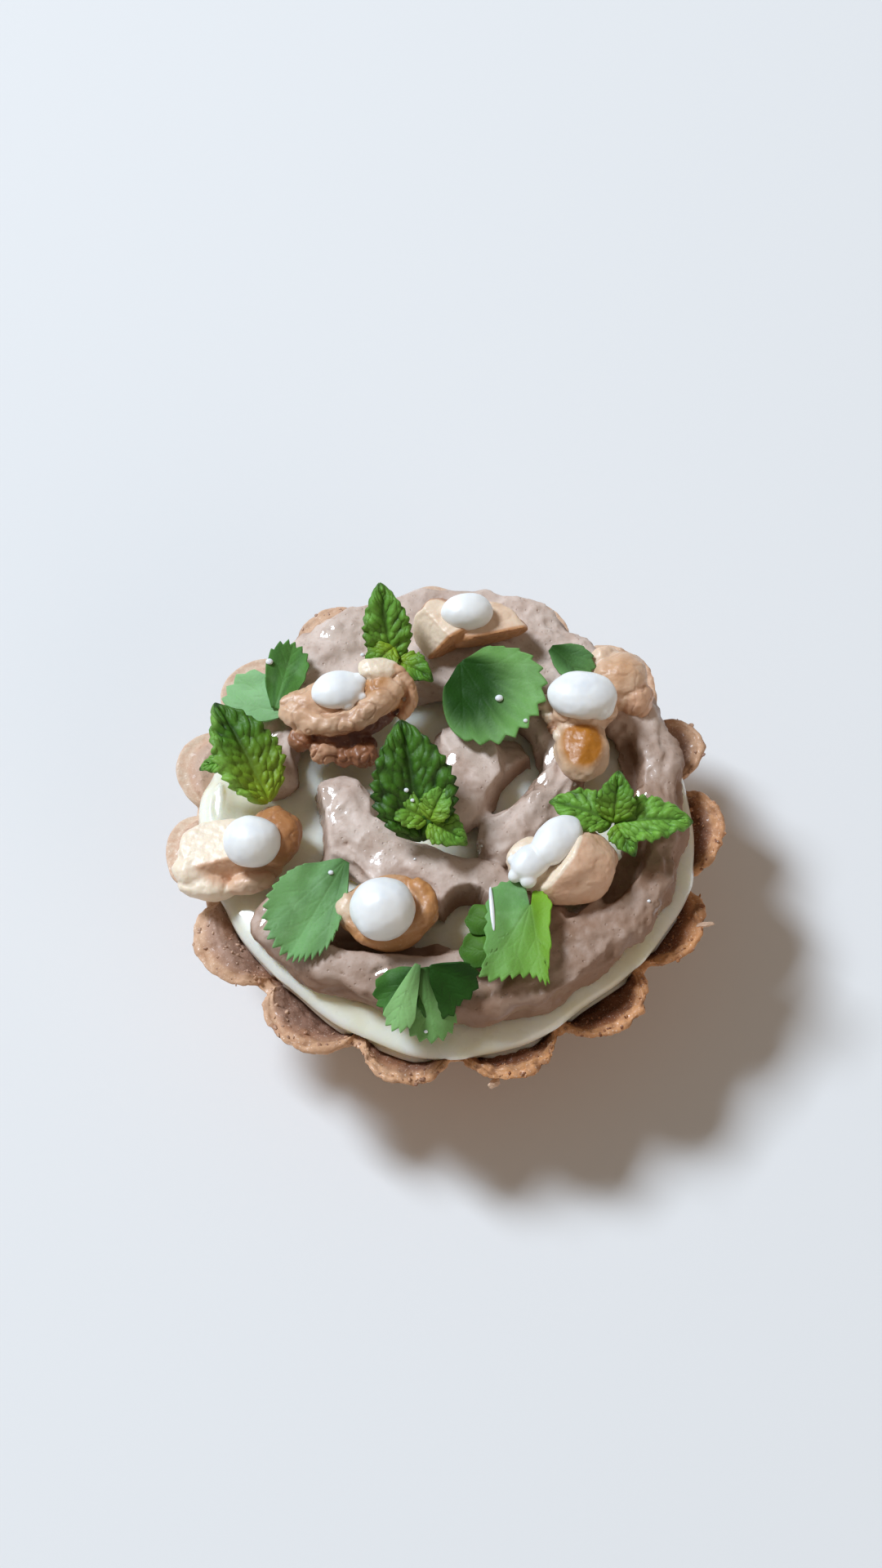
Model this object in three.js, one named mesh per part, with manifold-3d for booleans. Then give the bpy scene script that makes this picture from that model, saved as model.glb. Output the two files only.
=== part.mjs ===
// A fluted custard tartlet with piped mousse, walnuts, white drops and herb leaves.
//
// Millimetres, +Z up. The origin is the middle of the shell's flat underside, and the
// side that faces the viewer looks towards -Y. Sizes come from the named values below.
// Pieces that touch keep a small gap, so each one is cut by the grown form of what it
// lies on. Every form has a `grow` argument for that: how far it swells past its size.

import * as THREE from 'three';
import { mergeVertices } from 'three/addons/utils/BufferGeometryUtils.js';
import Module from 'manifold-3d';

const wasm = await Module();
wasm.setup();

const { degToRad, euclideanModulo, lerp } = THREE.MathUtils;
const UP = new THREE.Vector3(0, 0, 1);
const GAP = 0.3;

// ---------------------------------------------------------------- driving dimensions

const SHELL = {
  petals: 15,
  firstNotch: 9, // degrees anticlockwise from +X
  // How far each notch strays from even spacing, in degrees: the shell is hand pressed.
  notchStray: [3.2, -2, 0, 1, -1, 0.5, -0.5, -2.2, -2.6, -0.8, 0.7, -0.2, 0.5, 1.3, 1.7],
  petalShare: 0.89, // part of the pitch that the petal takes, the rest is the notch
  baseRadius: 21.5,
  notchRadius: 33.8,
  tipRadius: 38,
  baseFlute: 0.5,
  tipHeight: 20.3,
  notchHeight: 18.9,
  floor: 3.2,
  floorRadius: 20,
  innerNotchRadius: 32,
  innerTipRadius: 36.7,
  innerFlute: 0.4,
};

const CREAM = {
  crown: 23.6,
  shoulderRadius: 30.2,
  shoulder: 21.7,
  lipTop: 21.1,
  lipBottom: 19.85,
  wallGap: 0.35,
  rimGap: 0.75,
  // The poured edge wanders: [degrees, radius].
  edge: [
    [11, 33.2], [30, 33.2], [55, 33], [85, 32.6], [115, 32.8], [145, 32.8], [174, 32.5], [190, 32.9],
    [205, 31.8], [228, 31.2], [248, 32.6], [265, 34], [286, 33.7], [305, 32.3], [328, 33.3], [345, 34.3],
  ],
};

const MOUSSE = { lift: 1.6, step: 4.8, sides: 8, rise: 0.88, unevenness: 0.28, seatSides: 28 };

// Each rope is piped through these places: [x, y, radius].
const ROPES = {
  outer: [
    [-23.6, -13.6, 4.2], [-17.8, -18.6, 4.8], [-11.6, -21.9, 5], [-4.4, -24, 5], [4.8, -25, 5.2],
    [13.6, -22.6, 5.4], [21.3, -17.2, 5.4], [26.6, -10.8, 4.8], [28.8, -3.1, 4.2], [28.6, 4.9, 4.2],
    [26.8, 13, 4.4], [23, 20, 4.8], [17.4, 25.7, 5], [10.6, 28.9, 5], [1.8, 30, 4.8], [-7.1, 29, 4.8],
    [-14.2, 25.4, 4.8], [-19.7, 20.2, 4.6], [-22.9, 13.6, 4.2], [-24.5, 8, 3.6],
  ],
  left: [
    [-14.5, 2.1, 3.4], [-12.7, -1.9, 4.4], [-7.5, -6.8, 4.6], [-0.4, -10.4, 4.4], [6, -12.4, 4.2], [11.4, -15.4, 4.2],
    [15, -19.6, 4],
  ],
  right: [
    [5.6, -6.2, 3], [9.2, -2.3, 3.7], [13.2, 3.4, 3.8], [16.1, 10.5, 4.2], [13.8, 17.4, 4.6], [7.4, 21.5, 4.6],
    [0.1, 22.3, 4.6], [-7.2, 21.5, 4.6], [-13.3, 17.4, 4.6], [-18.4, 11.1, 4],
  ],
  middle: [[1.3, 13, 3.6], [4.9, 8, 4.6], [6.1, 2.4, 4.4], [3.9, -3.7, 3.4]],
};
const MOUSSE_BLOB = { at: [4.9, -27.4, 26.2], size: [2.5, 2, 2] };

// Walnut pieces and the drops on them, as lumps: middle, half sizes, turn about Z in degrees.
const WALNUTS = [
  [
    { at: [-13.4, 13.7, 31], size: [8.4, 3.5, 2.3], turn: 10 },
    { at: [-6.4, 15.2, 31.3], size: [3, 3.8, 2.9], turn: 0 },
    { at: [-4.7, 12.3, 29.4], size: [1.9, 3.1, 3.2], turn: 15 },
    { at: [-14.4, 8.5, 27.8], size: [6.6, 2.4, 2.3], turn: -8 },
    { at: [-12.5, 12.4, 28.8], size: [7, 3.6, 2.6], turn: 4 },
  ],
  [
    { at: [4.6, 25.5, 30], size: [6, 4, 3.1], turn: -10 },
    { at: [-0.4, 24, 30.4], size: [3.1, 3.5, 3.4], turn: 20 },
    { at: [8.3, 24.2, 29.2], size: [2.8, 3.1, 2.5], turn: 0 },
  ],
  [
    { at: [18.2, 14.4, 29.4], size: [5, 4.2, 3.1], turn: 0 },
    { at: [19.1, 7.8, 28.6], size: [3.3, 4.4, 2.8], turn: 8 },
    { at: [14.7, 11.2, 29.6], size: [2.1, 3, 1.9], turn: -20 },
    { at: [24.5, 18.4, 27.6], size: [3.8, 4.6, 3.4], turn: -15 },
  ],
  [
    { at: [-28.3, -6.4, 26.1], size: [7, 4.6, 3.1], turn: -12 },
    { at: [-33.1, -6.9, 24.7], size: [3.6, 3, 2.2], turn: 0 },
    { at: [-22.4, -5.1, 27.2], size: [3.7, 4.2, 3.3], turn: 10 },
    { at: [-28.2, -10.6, 24.5], size: [4.8, 1.9, 1.8], turn: -6 },
  ],
  [
    { at: [-8.3, -15.9, 28.4], size: [6, 5.1, 3.4], turn: 0 },
    { at: [-3.3, -15.4, 28.4], size: [2.7, 3.8, 2.7], turn: 0 },
  ],
  [
    { at: [17.3, -9.8, 28.6], size: [5.5, 5.1, 4.2], turn: 10 },
    { at: [12.8, -8, 29.4], size: [4.8, 4.1, 3.4], turn: 35 },
  ],
];

const DROPS = [
  { at: [-14.1, 14.8, 32.9], size: [3.7, 3, 1.9], turn: 12 },
  { at: [3.1, 26.9, 32.3], size: [3.8, 2.9, 2.4], turn: 0 },
  { at: [18.6, 14.3, 31.7], size: [4.7, 3.5, 2.5], turn: -5 },
  { at: [-25.5, -6.6, 29.4], size: [4, 3.7, 3], turn: 0 },
  { at: [-8.1, -17, 31], size: [4.3, 4.3, 3.3], turn: 0 },
  { at: [13.1, -8.8, 32.2], size: [5.6, 3, 2], turn: 36 },
];

const LEAF = { thickness: 0.5, corianderPoints: 24, mintPointsPerMillimetre: 1.1 };

// A leaf starts at `base`, points along `yaw` in degrees anticlockwise from +X, its tip
// lifted by `pitch`, and it is rolled about its own length by `roll`. `arch` bends it
// down along its length and `fold` closes it about its middle rib.
const MINTS = [
  [
    { base: [-7.1, 19.6, 29.8], yaw: 104, pitch: 44, roll: 0, length: 12, width: 6.6, arch: 1.2, fold: 0.35 },
    { base: [-7, 19.2, 30.6], yaw: 236, pitch: 18, roll: 0, length: 5.4, width: 4.2, arch: 1.6, fold: 0.3 },
    { base: [-6.6, 19.5, 30.6], yaw: 335, pitch: 22, roll: 0, length: 5.2, width: 3.8, arch: 1.6, fold: 0.3 },
  ],
  [
    { base: [-24.2, 0.2, 28.2], yaw: 117, pitch: 27, roll: 8, length: 14.6, width: 8, arch: 1.8, fold: 0.3 },
    { base: [-24, 0.2, 28.4], yaw: 60, pitch: 8, roll: 0, length: 5, width: 3.8, arch: 0.8, fold: 0.3 },
  ],
  [
    { base: [-2.3, -6.4, 30.2], yaw: 101, pitch: 31, roll: 0, length: 15.6, width: 9.6, arch: 1.6, fold: 0.42 },
    { base: [-1.6, -6.6, 31.2], yaw: 150, pitch: 34, roll: 0, length: 6.4, width: 5, arch: 1.4, fold: 0.35 },
    { base: [-1.8, -6.4, 31], yaw: 52, pitch: 26, roll: 0, length: 6, width: 4.6, arch: 1.4, fold: 0.35 },
    { base: [-1.6, -6, 30.8], yaw: 285, pitch: 10, roll: 0, length: 5.4, width: 5, arch: 1.4, fold: 0.25 },
  ],
  [
    { base: [23.4, -3.4, 30], yaw: 168, pitch: 14, roll: 12, length: 8.8, width: 5.6, arch: 1.6, fold: 0.3 },
    { base: [23.8, -3.4, 30], yaw: 1, pitch: 8, roll: -14, length: 9, width: 6, arch: 1.6, fold: 0.3 },
    { base: [23.6, -2.8, 30.2], yaw: 84, pitch: 50, roll: 0, length: 5.8, width: 4.6, arch: 0.8, fold: 0.4 },
    { base: [23.7, -3.6, 30.2], yaw: 300, pitch: 20, roll: 0, length: 4, width: 3.4, arch: 1.4, fold: 0.25 },
  ],
];

// A coriander blade is a fan of `lobes` round lobes that opens `spread` degrees from a stem edge
// `stem` wide. One leaf is one blade, or several that are joined.
const CORIANDERS = [
  [{ base: [-20.9, 15.2, 28.9], yaw: 141, pitch: -9, roll: 0, length: 11.6, spread: 120, stem: 1, lobes: 3, arch: 1.2, fold: 0.12 }],
  [{ base: [3.4, 18.5, 31.2], yaw: 308, pitch: -4, roll: -6, length: 11.6, spread: 132, stem: 1, lobes: 3, arch: 1.2, fold: 0.1 }],
  [{ base: [14.4, 24.4, 30.4], yaw: 329, pitch: -6, roll: 0, length: 7, spread: 84, stem: 1, lobes: 3, arch: 0.6, fold: 0.2 }],
  [{ base: [-12.9, -9.8, 30], yaw: 238, pitch: -6, roll: 0, length: 14.6, spread: 70, stem: 1.4, lobes: 3, arch: 1, fold: 0.1 }],
  [
    { base: [9.9, -26.6, 28.9], yaw: 89, pitch: 6, roll: 0, length: 13.4, spread: 12, stem: 7.4, lobes: 2, arch: 0.6, fold: 0.12 },
    { base: [8, -19.2, 30], yaw: 172, pitch: -8, roll: 0, length: 5.2, spread: 84, stem: 1.4, lobes: 2, arch: 0.4, fold: 0.1 },
    { base: [8, -22.4, 29.7], yaw: 187, pitch: -8, roll: 0, length: 6.2, spread: 72, stem: 1.4, lobes: 2, arch: 0.4, fold: 0.1 },
  ],
  [{ base: [-3.4, -24.8, 29.2], yaw: 265, pitch: -30, roll: 0, length: 10, spread: 128, stem: 1, lobes: 4, arch: 1.6, fold: 0.3 }],
];

// ---------------------------------------------------------------- small tools

/** Smooth unevenness between about -1 and 1 at a place, different for each seed. */
function uneven(point, seed, pitch = 1) {
  const [x, y, z] = [point.x / pitch, point.y / pitch, point.z / pitch];
  const across = Math.sin(0.9 * x + 1.7 * seed + 0.9) * Math.cos(0.8 * y - 0.8 * seed);
  const along = Math.sin(0.7 * z + 0.5 * x - 0.6 * y + 2.3 * seed);
  return 0.6 * across + 0.5 * along;
}

/** Volume inside closed faces, given as a flat list of corner numbers. It is negative inside out. */
function volumeInside(position, corners) {
  const [a, b, c] = [new THREE.Vector3(), new THREE.Vector3(), new THREE.Vector3()];
  let volume = 0;
  for (let i = 0; i < corners.length; i += 3) {
    a.fromBufferAttribute(position, corners[i]);
    b.fromBufferAttribute(position, corners[i + 1]);
    c.fromBufferAttribute(position, corners[i + 2]);
    volume += a.dot(b.cross(c)) / 6;
  }
  return volume;
}

/** A closed geometry with its faces turned outwards. */
function outward(geometry) {
  const corners = Array.from(geometry.getIndex().array);
  if (volumeInside(geometry.getAttribute('position'), corners) < 0) geometry.setIndex(corners.reverse());
  return geometry;
}

/** Joins rings of points, all with the same count, into one skin closed by a point at each end. */
function loft(rings, startPoint, endPoint) {
  const count = rings[0].length;
  const points = [...rings.flat(), startPoint, endPoint];
  const start = points.length - 2;
  const end = points.length - 1;
  const last = (rings.length - 1) * count;
  const index = [];
  for (let k = 0; k < count; k += 1) {
    const next = (k + 1) % count;
    for (let ring = 0; ring < last; ring += count) {
      index.push(ring + k, ring + next, ring + count + next);
      index.push(ring + k, ring + count + next, ring + count + k);
    }
    index.push(start, next, k);
    index.push(end, last + k, last + next);
  }
  const geometry = new THREE.BufferGeometry().setFromPoints(points);
  geometry.setIndex(index);
  return outward(geometry);
}

/** The manifold solid of a closed geometry. */
function solidOf(geometry) {
  const plain = geometry.clone();
  for (const name of Object.keys(plain.attributes)) {
    if (name !== 'position') plain.deleteAttribute(name);
  }
  const merged = mergeVertices(plain, 1e-4);
  return new wasm.Manifold(new wasm.Mesh({
    numProp: 3,
    vertProperties: Float32Array.from(merged.getAttribute('position').array),
    triVerts: Uint32Array.from(merged.getIndex().array),
  }));
}

/** The geometry of a manifold solid. */
function geometryOf(solid) {
  const mesh = solid.getMesh();
  const geometry = new THREE.BufferGeometry();
  geometry.setAttribute('position', new THREE.BufferAttribute(mesh.vertProperties, mesh.numProp));
  geometry.setIndex(new THREE.BufferAttribute(mesh.triVerts, 1));
  return geometry;
}

/** Several solids fused into one. */
function fused(solids) {
  return solids.reduce((whole, piece) => whole.add(piece));
}

/** The same geometry without the loose scraps that a cut leaves: only its largest body. */
function largestBody(geometry) {
  const position = geometry.getAttribute('position');
  const index = geometry.getIndex().array;
  const parent = Array.from({ length: position.count }, (_, i) => i);
  const root = (i) => {
    while (parent[i] !== i) {
      parent[i] = parent[parent[i]];
      i = parent[i];
    }
    return i;
  };
  for (let i = 0; i < index.length; i += 3) {
    parent[root(index[i + 1])] = root(index[i]);
    parent[root(index[i + 2])] = root(index[i]);
  }
  const bodies = new Map();
  for (let i = 0; i < index.length; i += 3) {
    const body = root(index[i]);
    if (!bodies.has(body)) bodies.set(body, []);
    bodies.get(body).push(index[i], index[i + 1], index[i + 2]);
  }
  const volumes = [...bodies.values()].map((corners) => [volumeInside(position, corners), corners]);
  const [, largest] = volumes.reduce((best, one) => (one[0] > best[0] ? one : best));
  const kept = new THREE.BufferGeometry();
  kept.setAttribute('position', position);
  kept.setIndex(largest);
  return mergeVertices(kept.toNonIndexed(), 1e-4);
}

/** A lump as a manifold solid: an ellipsoid, a little uneven, turned about Z. */
function lump({ at, size, turn = 0 }, grow, seed, roughness, detail) {
  const geometry = new THREE.IcosahedronGeometry(1, detail);
  const position = geometry.getAttribute('position');
  const point = new THREE.Vector3();
  const scale = new THREE.Vector3(...size).addScalar(grow);
  for (let i = 0; i < position.count; i += 1) {
    point.fromBufferAttribute(position, i);
    const swell = 1 + roughness * uneven(point, seed, 0.32);
    point.multiply(scale).multiplyScalar(swell);
    position.setXYZ(i, point.x, point.y, point.z);
  }
  geometry.rotateZ(degToRad(turn));
  geometry.translate(...at);
  return solidOf(geometry);
}

// ---------------------------------------------------------------- the fluted shell

const PITCH = 360 / SHELL.petals;

/** The angle of a notch in degrees. */
function notchAngle(k) {
  const wrapped = euclideanModulo(k, SHELL.petals);
  return SHELL.firstNotch + PITCH * k + SHELL.notchStray[wrapped];
}

/** Height of the round petal outline, 1 on its tip and 0 in the notch, `across` from -1 to 1. */
function petalOutline(across) {
  const depth = SHELL.tipRadius - SHELL.notchRadius;
  const half = SHELL.notchRadius * Math.sin(degToRad(PITCH / 2)) * SHELL.petalShare;
  const arc = (half * half + depth * depth) / (2 * depth);
  const x = half * Math.min(1, Math.abs(across) / SHELL.petalShare);
  return Math.max(0, (Math.sqrt(arc * arc - x * x) - (arc - depth)) / depth);
}

// Every angle at which the shell and the cream have points: seven for each petal.
const ACROSS = [-1, -SHELL.petalShare, -0.58, -0.2, 0.2, 0.58, SHELL.petalShare];
const SPOKES = Array.from({ length: SHELL.petals }, (_, k) => {
  const start = notchAngle(k);
  const width = notchAngle(k + 1) - start;
  return ACROSS.map((across) => ({
    angle: degToRad(start + (width * (across + 1)) / 2),
    petal: petalOutline(across),
    stray: 0.22 * Math.sin(2.1 * k + 0.7),
  }));
}).flat();

/** Height of the rim on a spoke. */
function rimHeight({ petal, angle }) {
  return lerp(SHELL.notchHeight, SHELL.tipHeight, Math.sqrt(petal)) + 0.12 * Math.sin(3 * angle + 0.6);
}

/** Outer radius on a spoke, `level` 0 at the floor to 1 at the rim. */
function outerRadius({ petal, stray }, level) {
  const notch = lerp(SHELL.baseRadius, SHELL.notchRadius, level ** 0.95);
  const flute = lerp(SHELL.baseFlute, SHELL.tipRadius - SHELL.notchRadius + stray, level ** 1.7);
  return notch + petal * flute;
}

/** Inner radius on a spoke, `level` 0 on the shell's floor to 1 at the rim. */
function innerRadius({ petal, stray }, level) {
  const notch = lerp(SHELL.floorRadius, SHELL.innerNotchRadius, level ** 0.95);
  const flute = lerp(SHELL.innerFlute, SHELL.innerTipRadius - SHELL.innerNotchRadius + stray, level ** 3);
  return notch + petal * flute;
}

/** A point on a spoke. */
function onSpoke({ angle }, radius, z) {
  return new THREE.Vector3(radius * Math.cos(angle), radius * Math.sin(angle), z);
}

const WALL_LEVELS = [0, 0.62, 0.88];

/** The baked shell: flat underside, fluted wall, thin petal rim and the hollow for the filling. */
function crust() {
  const outerLevels = [0, 0.45, 0.82];
  const outer = outerLevels.map((level) => SPOKES.map((spoke) =>
    onSpoke(spoke, outerRadius(spoke, level), level * rimHeight(spoke))));
  const rimOutside = SPOKES.map((spoke) => onSpoke(spoke, outerRadius(spoke, 1), rimHeight(spoke) - 0.35));
  const rimInside = SPOKES.map((spoke) => onSpoke(spoke, innerRadius(spoke, 1), rimHeight(spoke)));
  const inner = [...WALL_LEVELS].reverse().map((level) => SPOKES.map((spoke) =>
    onSpoke(spoke, innerRadius(spoke, level), lerp(SHELL.floor, rimHeight(spoke), level))));
  return loft(
    [...outer, rimOutside, rimInside, ...inner],
    new THREE.Vector3(0, 0, 0),
    new THREE.Vector3(0, 0, SHELL.floor),
  );
}

// ---------------------------------------------------------------- the cream filling

/** Radius of the cream's poured edge at an angle in radians, smooth through the measured places. */
function creamEdge(angle) {
  const marks = CREAM.edge;
  const degrees = euclideanModulo(THREE.MathUtils.radToDeg(angle) - marks[0][0], 360) + marks[0][0];
  const following = marks.findIndex(([at]) => at > degrees);
  const next = following < 0 ? marks.length : following;
  const [fromAngle, fromRadius] = marks[next - 1];
  const [toAngle, toRadius] = next === marks.length ? [marks[0][0] + 360, marks[0][1]] : marks[next];
  return lerp(fromRadius, toRadius, THREE.MathUtils.smoothstep(degrees, fromAngle, toAngle));
}

/** Height of the cream's top at a distance from the middle. */
function creamTop(radius) {
  return lerp(CREAM.crown, CREAM.shoulder, radius / CREAM.shoulderRadius);
}

/** How far out the cream reaches on a spoke at height z: to its edge, or to just inside the wall. */
function creamReach(spoke, z, inset = 0) {
  const edge = creamEdge(spoke.angle) - inset;
  const level = (z - SHELL.floor) / (rimHeight(spoke) - SHELL.floor);
  return level > 1 ? edge : Math.min(edge, innerRadius(spoke, level) - CREAM.rimGap);
}

/** The set cream: it fills the shell, stands a little proud of it and has a rounded lip. */
function cream(grow = 0) {
  const wall = WALL_LEVELS.map((level) => SPOKES.map((spoke) => {
    const reach = Math.min(innerRadius(spoke, level) - CREAM.wallGap, creamEdge(spoke.angle) - 0.3);
    const z = Math.min(lerp(SHELL.floor + CREAM.wallGap, rimHeight(spoke), level), CREAM.lipBottom - 0.45);
    return onSpoke(spoke, reach, z);
  }));
  // Above the notches the cream steps out over the crest of the wall.
  const crest = SPOKES.map((spoke) => {
    const z = Math.min(rimHeight(spoke) + 0.15, CREAM.lipBottom - 0.3);
    return onSpoke(spoke, Math.min(creamReach(spoke, z, 0.3), innerRadius(spoke, 1) - CREAM.wallGap), z);
  });
  const ring = (inset, z) => SPOKES.map((spoke) => onSpoke(spoke, creamReach(spoke, z, inset) + grow, z));
  return loft(
    [
      ...wall,
      crest,
      ring(0.15, CREAM.lipBottom),
      ring(0, (CREAM.lipBottom + CREAM.lipTop) / 2 + grow / 2),
      ring(0.7, CREAM.lipTop + grow),
      ring(3, creamTop(CREAM.shoulderRadius) + grow),
    ],
    new THREE.Vector3(0, 0, SHELL.floor + CREAM.wallGap),
    new THREE.Vector3(0, 0, CREAM.crown + grow),
  );
}

// ---------------------------------------------------------------- the piped mousse

/** One rope of mousse: an uneven round section carried along a smooth path, with round ends. */
function rope(places, grow, seed) {
  const path = new THREE.CatmullRomCurve3(
    places.map(([x, y]) => new THREE.Vector3(x, y, creamTop(Math.hypot(x, y)) + MOUSSE.lift)),
    false,
    'centripetal',
  );
  const length = path.getLength();
  const steps = Math.ceil(length / MOUSSE.step);
  const radiusAt = (share) => {
    const place = path.getUtoTmapping(share) * (places.length - 1);
    const before = Math.min(Math.floor(place), places.length - 2);
    return lerp(places[before][2], places[before + 1][2], place - before);
  };
  const rings = [];
  for (let i = 0; i <= steps; i += 1) {
    const share = i / steps;
    const centre = path.getPointAt(share);
    const forward = path.getTangentAt(share);
    const side = new THREE.Vector3().crossVectors(forward, UP).normalize();
    const rise = new THREE.Vector3().crossVectors(side, forward);
    const fromEnd = Math.min(share, 1 - share) * length;
    const rounding = Math.sqrt(Math.min(1, 0.3 + fromEnd / radiusAt(share)));
    const radius = radiusAt(share) * rounding;
    rings.push(Array.from({ length: MOUSSE.sides }, (_, k) => {
      const turn = (2 * Math.PI * k) / MOUSSE.sides;
      const arm = new THREE.Vector3()
        .addScaledVector(side, Math.cos(turn))
        .addScaledVector(rise, Math.sin(turn) * MOUSSE.rise);
      const swell = MOUSSE.unevenness * uneven(centre.clone().addScaledVector(arm, radius), seed, 2.2);
      return centre.clone().addScaledVector(arm, radius + swell + grow);
    }));
  }
  const endPoint = (share, way) => path.getPointAt(share)
    .addScaledVector(path.getTangentAt(share), way * (0.35 * radiusAt(share) + grow));
  return solidOf(loft(rings, endPoint(0, -1), endPoint(1, 1)));
}

/** The bed that the ropes sit on: the cream's top and lip, a gap higher. */
function mousseSeat() {
  const reach = Math.max(...CREAM.edge.map(([, radius]) => radius)) + GAP;
  const profile = [
    [0, SHELL.floor], [reach, SHELL.floor], [reach, CREAM.lipTop + GAP],
    [CREAM.shoulderRadius, CREAM.shoulder + GAP], [0, CREAM.crown + GAP],
  ].map(([radius, z]) => new THREE.Vector2(radius, z));
  return solidOf(new THREE.LatheGeometry(profile, MOUSSE.seatSides).rotateX(Math.PI / 2));
}

/** All the ropes fused and seated, with one small blob left beside the front rope. */
function mousse(grow = 0) {
  const ropes = Object.values(ROPES).map((places, seed) => rope(places, grow, seed + 1));
  return fused([...ropes, lump(MOUSSE_BLOB, grow, 3, 0.05, 1)]).subtract(mousseSeat());
}

// ---------------------------------------------------------------- walnuts and white drops

/** One walnut piece: its lumps fused. */
function walnut(lumps, grow, seed) {
  return fused(lumps.map((one, k) => lump(one, grow, seed + 1.3 * k, 0.1, k === 0 ? 2 : 1)));
}

/** One smooth white drop. */
function drop(one, grow) {
  return lump(one, grow, 0, 0, 1);
}

// ---------------------------------------------------------------- leaves

/**
 * A thin leaf as a manifold solid. `outline` is a closed loop in the leaf's own plane with its
 * stem at 0,0 and its tip towards +y; both faces are split alike, by the loop shrunk to its middle.
 */
function leaf(outline, { base, yaw, pitch, roll, length, arch, fold }, grow, ripple) {
  const middle = new THREE.Vector2(0, 0.5 * length);
  const half = LEAF.thickness / 2 + grow;
  const place = new THREE.Matrix4().makeRotationFromEuler(
    new THREE.Euler(degToRad(pitch), degToRad(roll), degToRad(yaw - 90), 'ZXY'),
  ).setPosition(...base);
  const lifted = (point, side) => {
    const along = point.y / length;
    const wave = ripple * Math.sin(1.5 * point.x + 0.6) * Math.sin(5 * along + 0.5);
    const z = fold * Math.abs(point.x) - arch * along * along * 2 + arch * along + wave;
    return new THREE.Vector3(point.x, point.y, z + side * half).applyMatrix4(place);
  };
  const loop = (scale, side) => outline.map((point) => {
    const reach = point.clone().sub(middle);
    const stretched = reach.clone().setLength(reach.length() * scale + (scale === 1 ? grow : 0));
    return lifted(stretched.add(middle), side);
  });
  return solidOf(loft(
    [loop(0.5, -1), loop(1, -1), loop(1, 1), loop(0.5, 1)],
    lifted(middle, -1),
    lifted(middle, 1),
  ));
}

/** Outline of a mint leaf: an oval with a blunt tip and a saw-toothed edge. */
function mintOutline({ length, width }) {
  const count = 2 * Math.round(length * LEAF.mintPointsPerMillimetre * 0.5 + 3);
  return Array.from({ length: count }, (_, k) => {
    const turn = (2 * Math.PI * k) / count - Math.PI / 2;
    const along = (Math.sin(turn) + 1) / 2;
    const tooth = k % 2 === 0 ? 1 : 0.9;
    const x = (width / 2) * Math.cos(turn) * (1.1 - 0.35 * along) * tooth;
    return new THREE.Vector2(x, along * length);
  });
}

/** Outline of a coriander blade: a fan from the stem edge with round lobes and a toothed edge. */
function corianderOutline({ length, spread, stem, lobes }) {
  const points = [new THREE.Vector2(stem / 2, 0), new THREE.Vector2(-stem / 2, 0)];
  const edge = 2 * Math.round(LEAF.corianderPoints * Math.min(1, length / 10) * 0.5) - 2;
  for (let k = 0; k < edge; k += 1) {
    const share = k / (edge - 1);
    const turn = degToRad(spread * (share - 0.5));
    const lobe = Math.abs(Math.sin(Math.PI * lobes * share)) ** 0.5;
    const tooth = k % 2 === 0 ? 1 : 0.93;
    const reach = length * (0.8 + 0.2 * lobe) * tooth * (1 - 0.9 * (share - 0.5) ** 2);
    points.push(new THREE.Vector2(stem * (share - 0.5) + reach * Math.sin(turn), reach * Math.cos(turn)));
  }
  return points;
}

/** One sprig of mint: its leaves fused. */
function mint(leaves, grow) {
  return fused(leaves.map((one) => leaf(mintOutline(one), one, grow, 0.15)));
}

/** One coriander leaf: its blades fused. */
function coriander(blades, grow) {
  return fused(blades.map((one) => leaf(corianderOutline(one), one, grow, 0.25)));
}

// ---------------------------------------------------------------- assembly

const FINISH = {
  crust: { color: 0xa97454, roughness: 0.85 },
  cream: { color: 0xdcd8c0, roughness: 0.25 },
  mousse: { color: 0xac958a, roughness: 0.4 },
  walnut: { color: 0xcf9b6c, roughness: 0.5 },
  drop: { color: 0xf5f4f2, roughness: 0.2 },
  mint: { color: 0x447d2b, roughness: 0.5 },
  coriander: { color: 0x5a9a4c, roughness: 0.45 },
};

/** Adds one named mesh to the tartlet. */
function addPiece(group, name, kind, geometry) {
  const material = new THREE.MeshStandardMaterial({ ...FINISH[kind], metalness: 0, flatShading: true });
  const mesh = new THREE.Mesh(geometry, material);
  mesh.name = name;
  group.add(mesh);
}

/** The whole tartlet. */
function tartlet() {
  const group = new THREE.Group();
  addPiece(group, 'crust', 'crust', crust());
  addPiece(group, 'cream', 'cream', cream());

  // What is already in place, grown by the gap: each new piece is cut by all of it.
  let placed = fused([solidOf(crust()), solidOf(cream(GAP))]);
  const lay = (name, kind, form) => {
    addPiece(group, name, kind, largestBody(geometryOf(form(0).subtract(placed))));
    placed = placed.add(form(GAP));
  };

  lay('mousse', 'mousse', mousse);
  WALNUTS.forEach((lumps, k) => lay(`walnut_${k + 1}`, 'walnut', (grow) => walnut(lumps, grow, k + 1)));
  DROPS.forEach((one, k) => lay(`drop_${k + 1}`, 'drop', (grow) => drop(one, grow)));
  CORIANDERS.forEach((blades, k) => lay(`coriander_${k + 1}`, 'coriander', (grow) => coriander(blades, grow)));
  MINTS.forEach((leaves, k) => lay(`mint_${k + 1}`, 'mint', (grow) => mint(leaves, grow)));
  return group;
}

export default tartlet();
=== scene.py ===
"""Looks of a fluted custard tartlet with piped mousse, walnuts, white drops and herb leaves.

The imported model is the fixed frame. Each of its nodes is replaced by a finer piece of the same
form. Shapes are worked out in millimetres, +Z up, -Y towards the viewer, and become metres when
they go into a mesh.
"""

from __future__ import annotations

import logging
import math
from dataclasses import dataclass, field
from enum import Enum, IntEnum
from itertools import product
from typing import Any, Callable, Iterable, Sequence, Union

import bpy
import numpy as np
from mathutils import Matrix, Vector
from mathutils.bvhtree import BVHTree
from numpy.typing import NDArray

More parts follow.
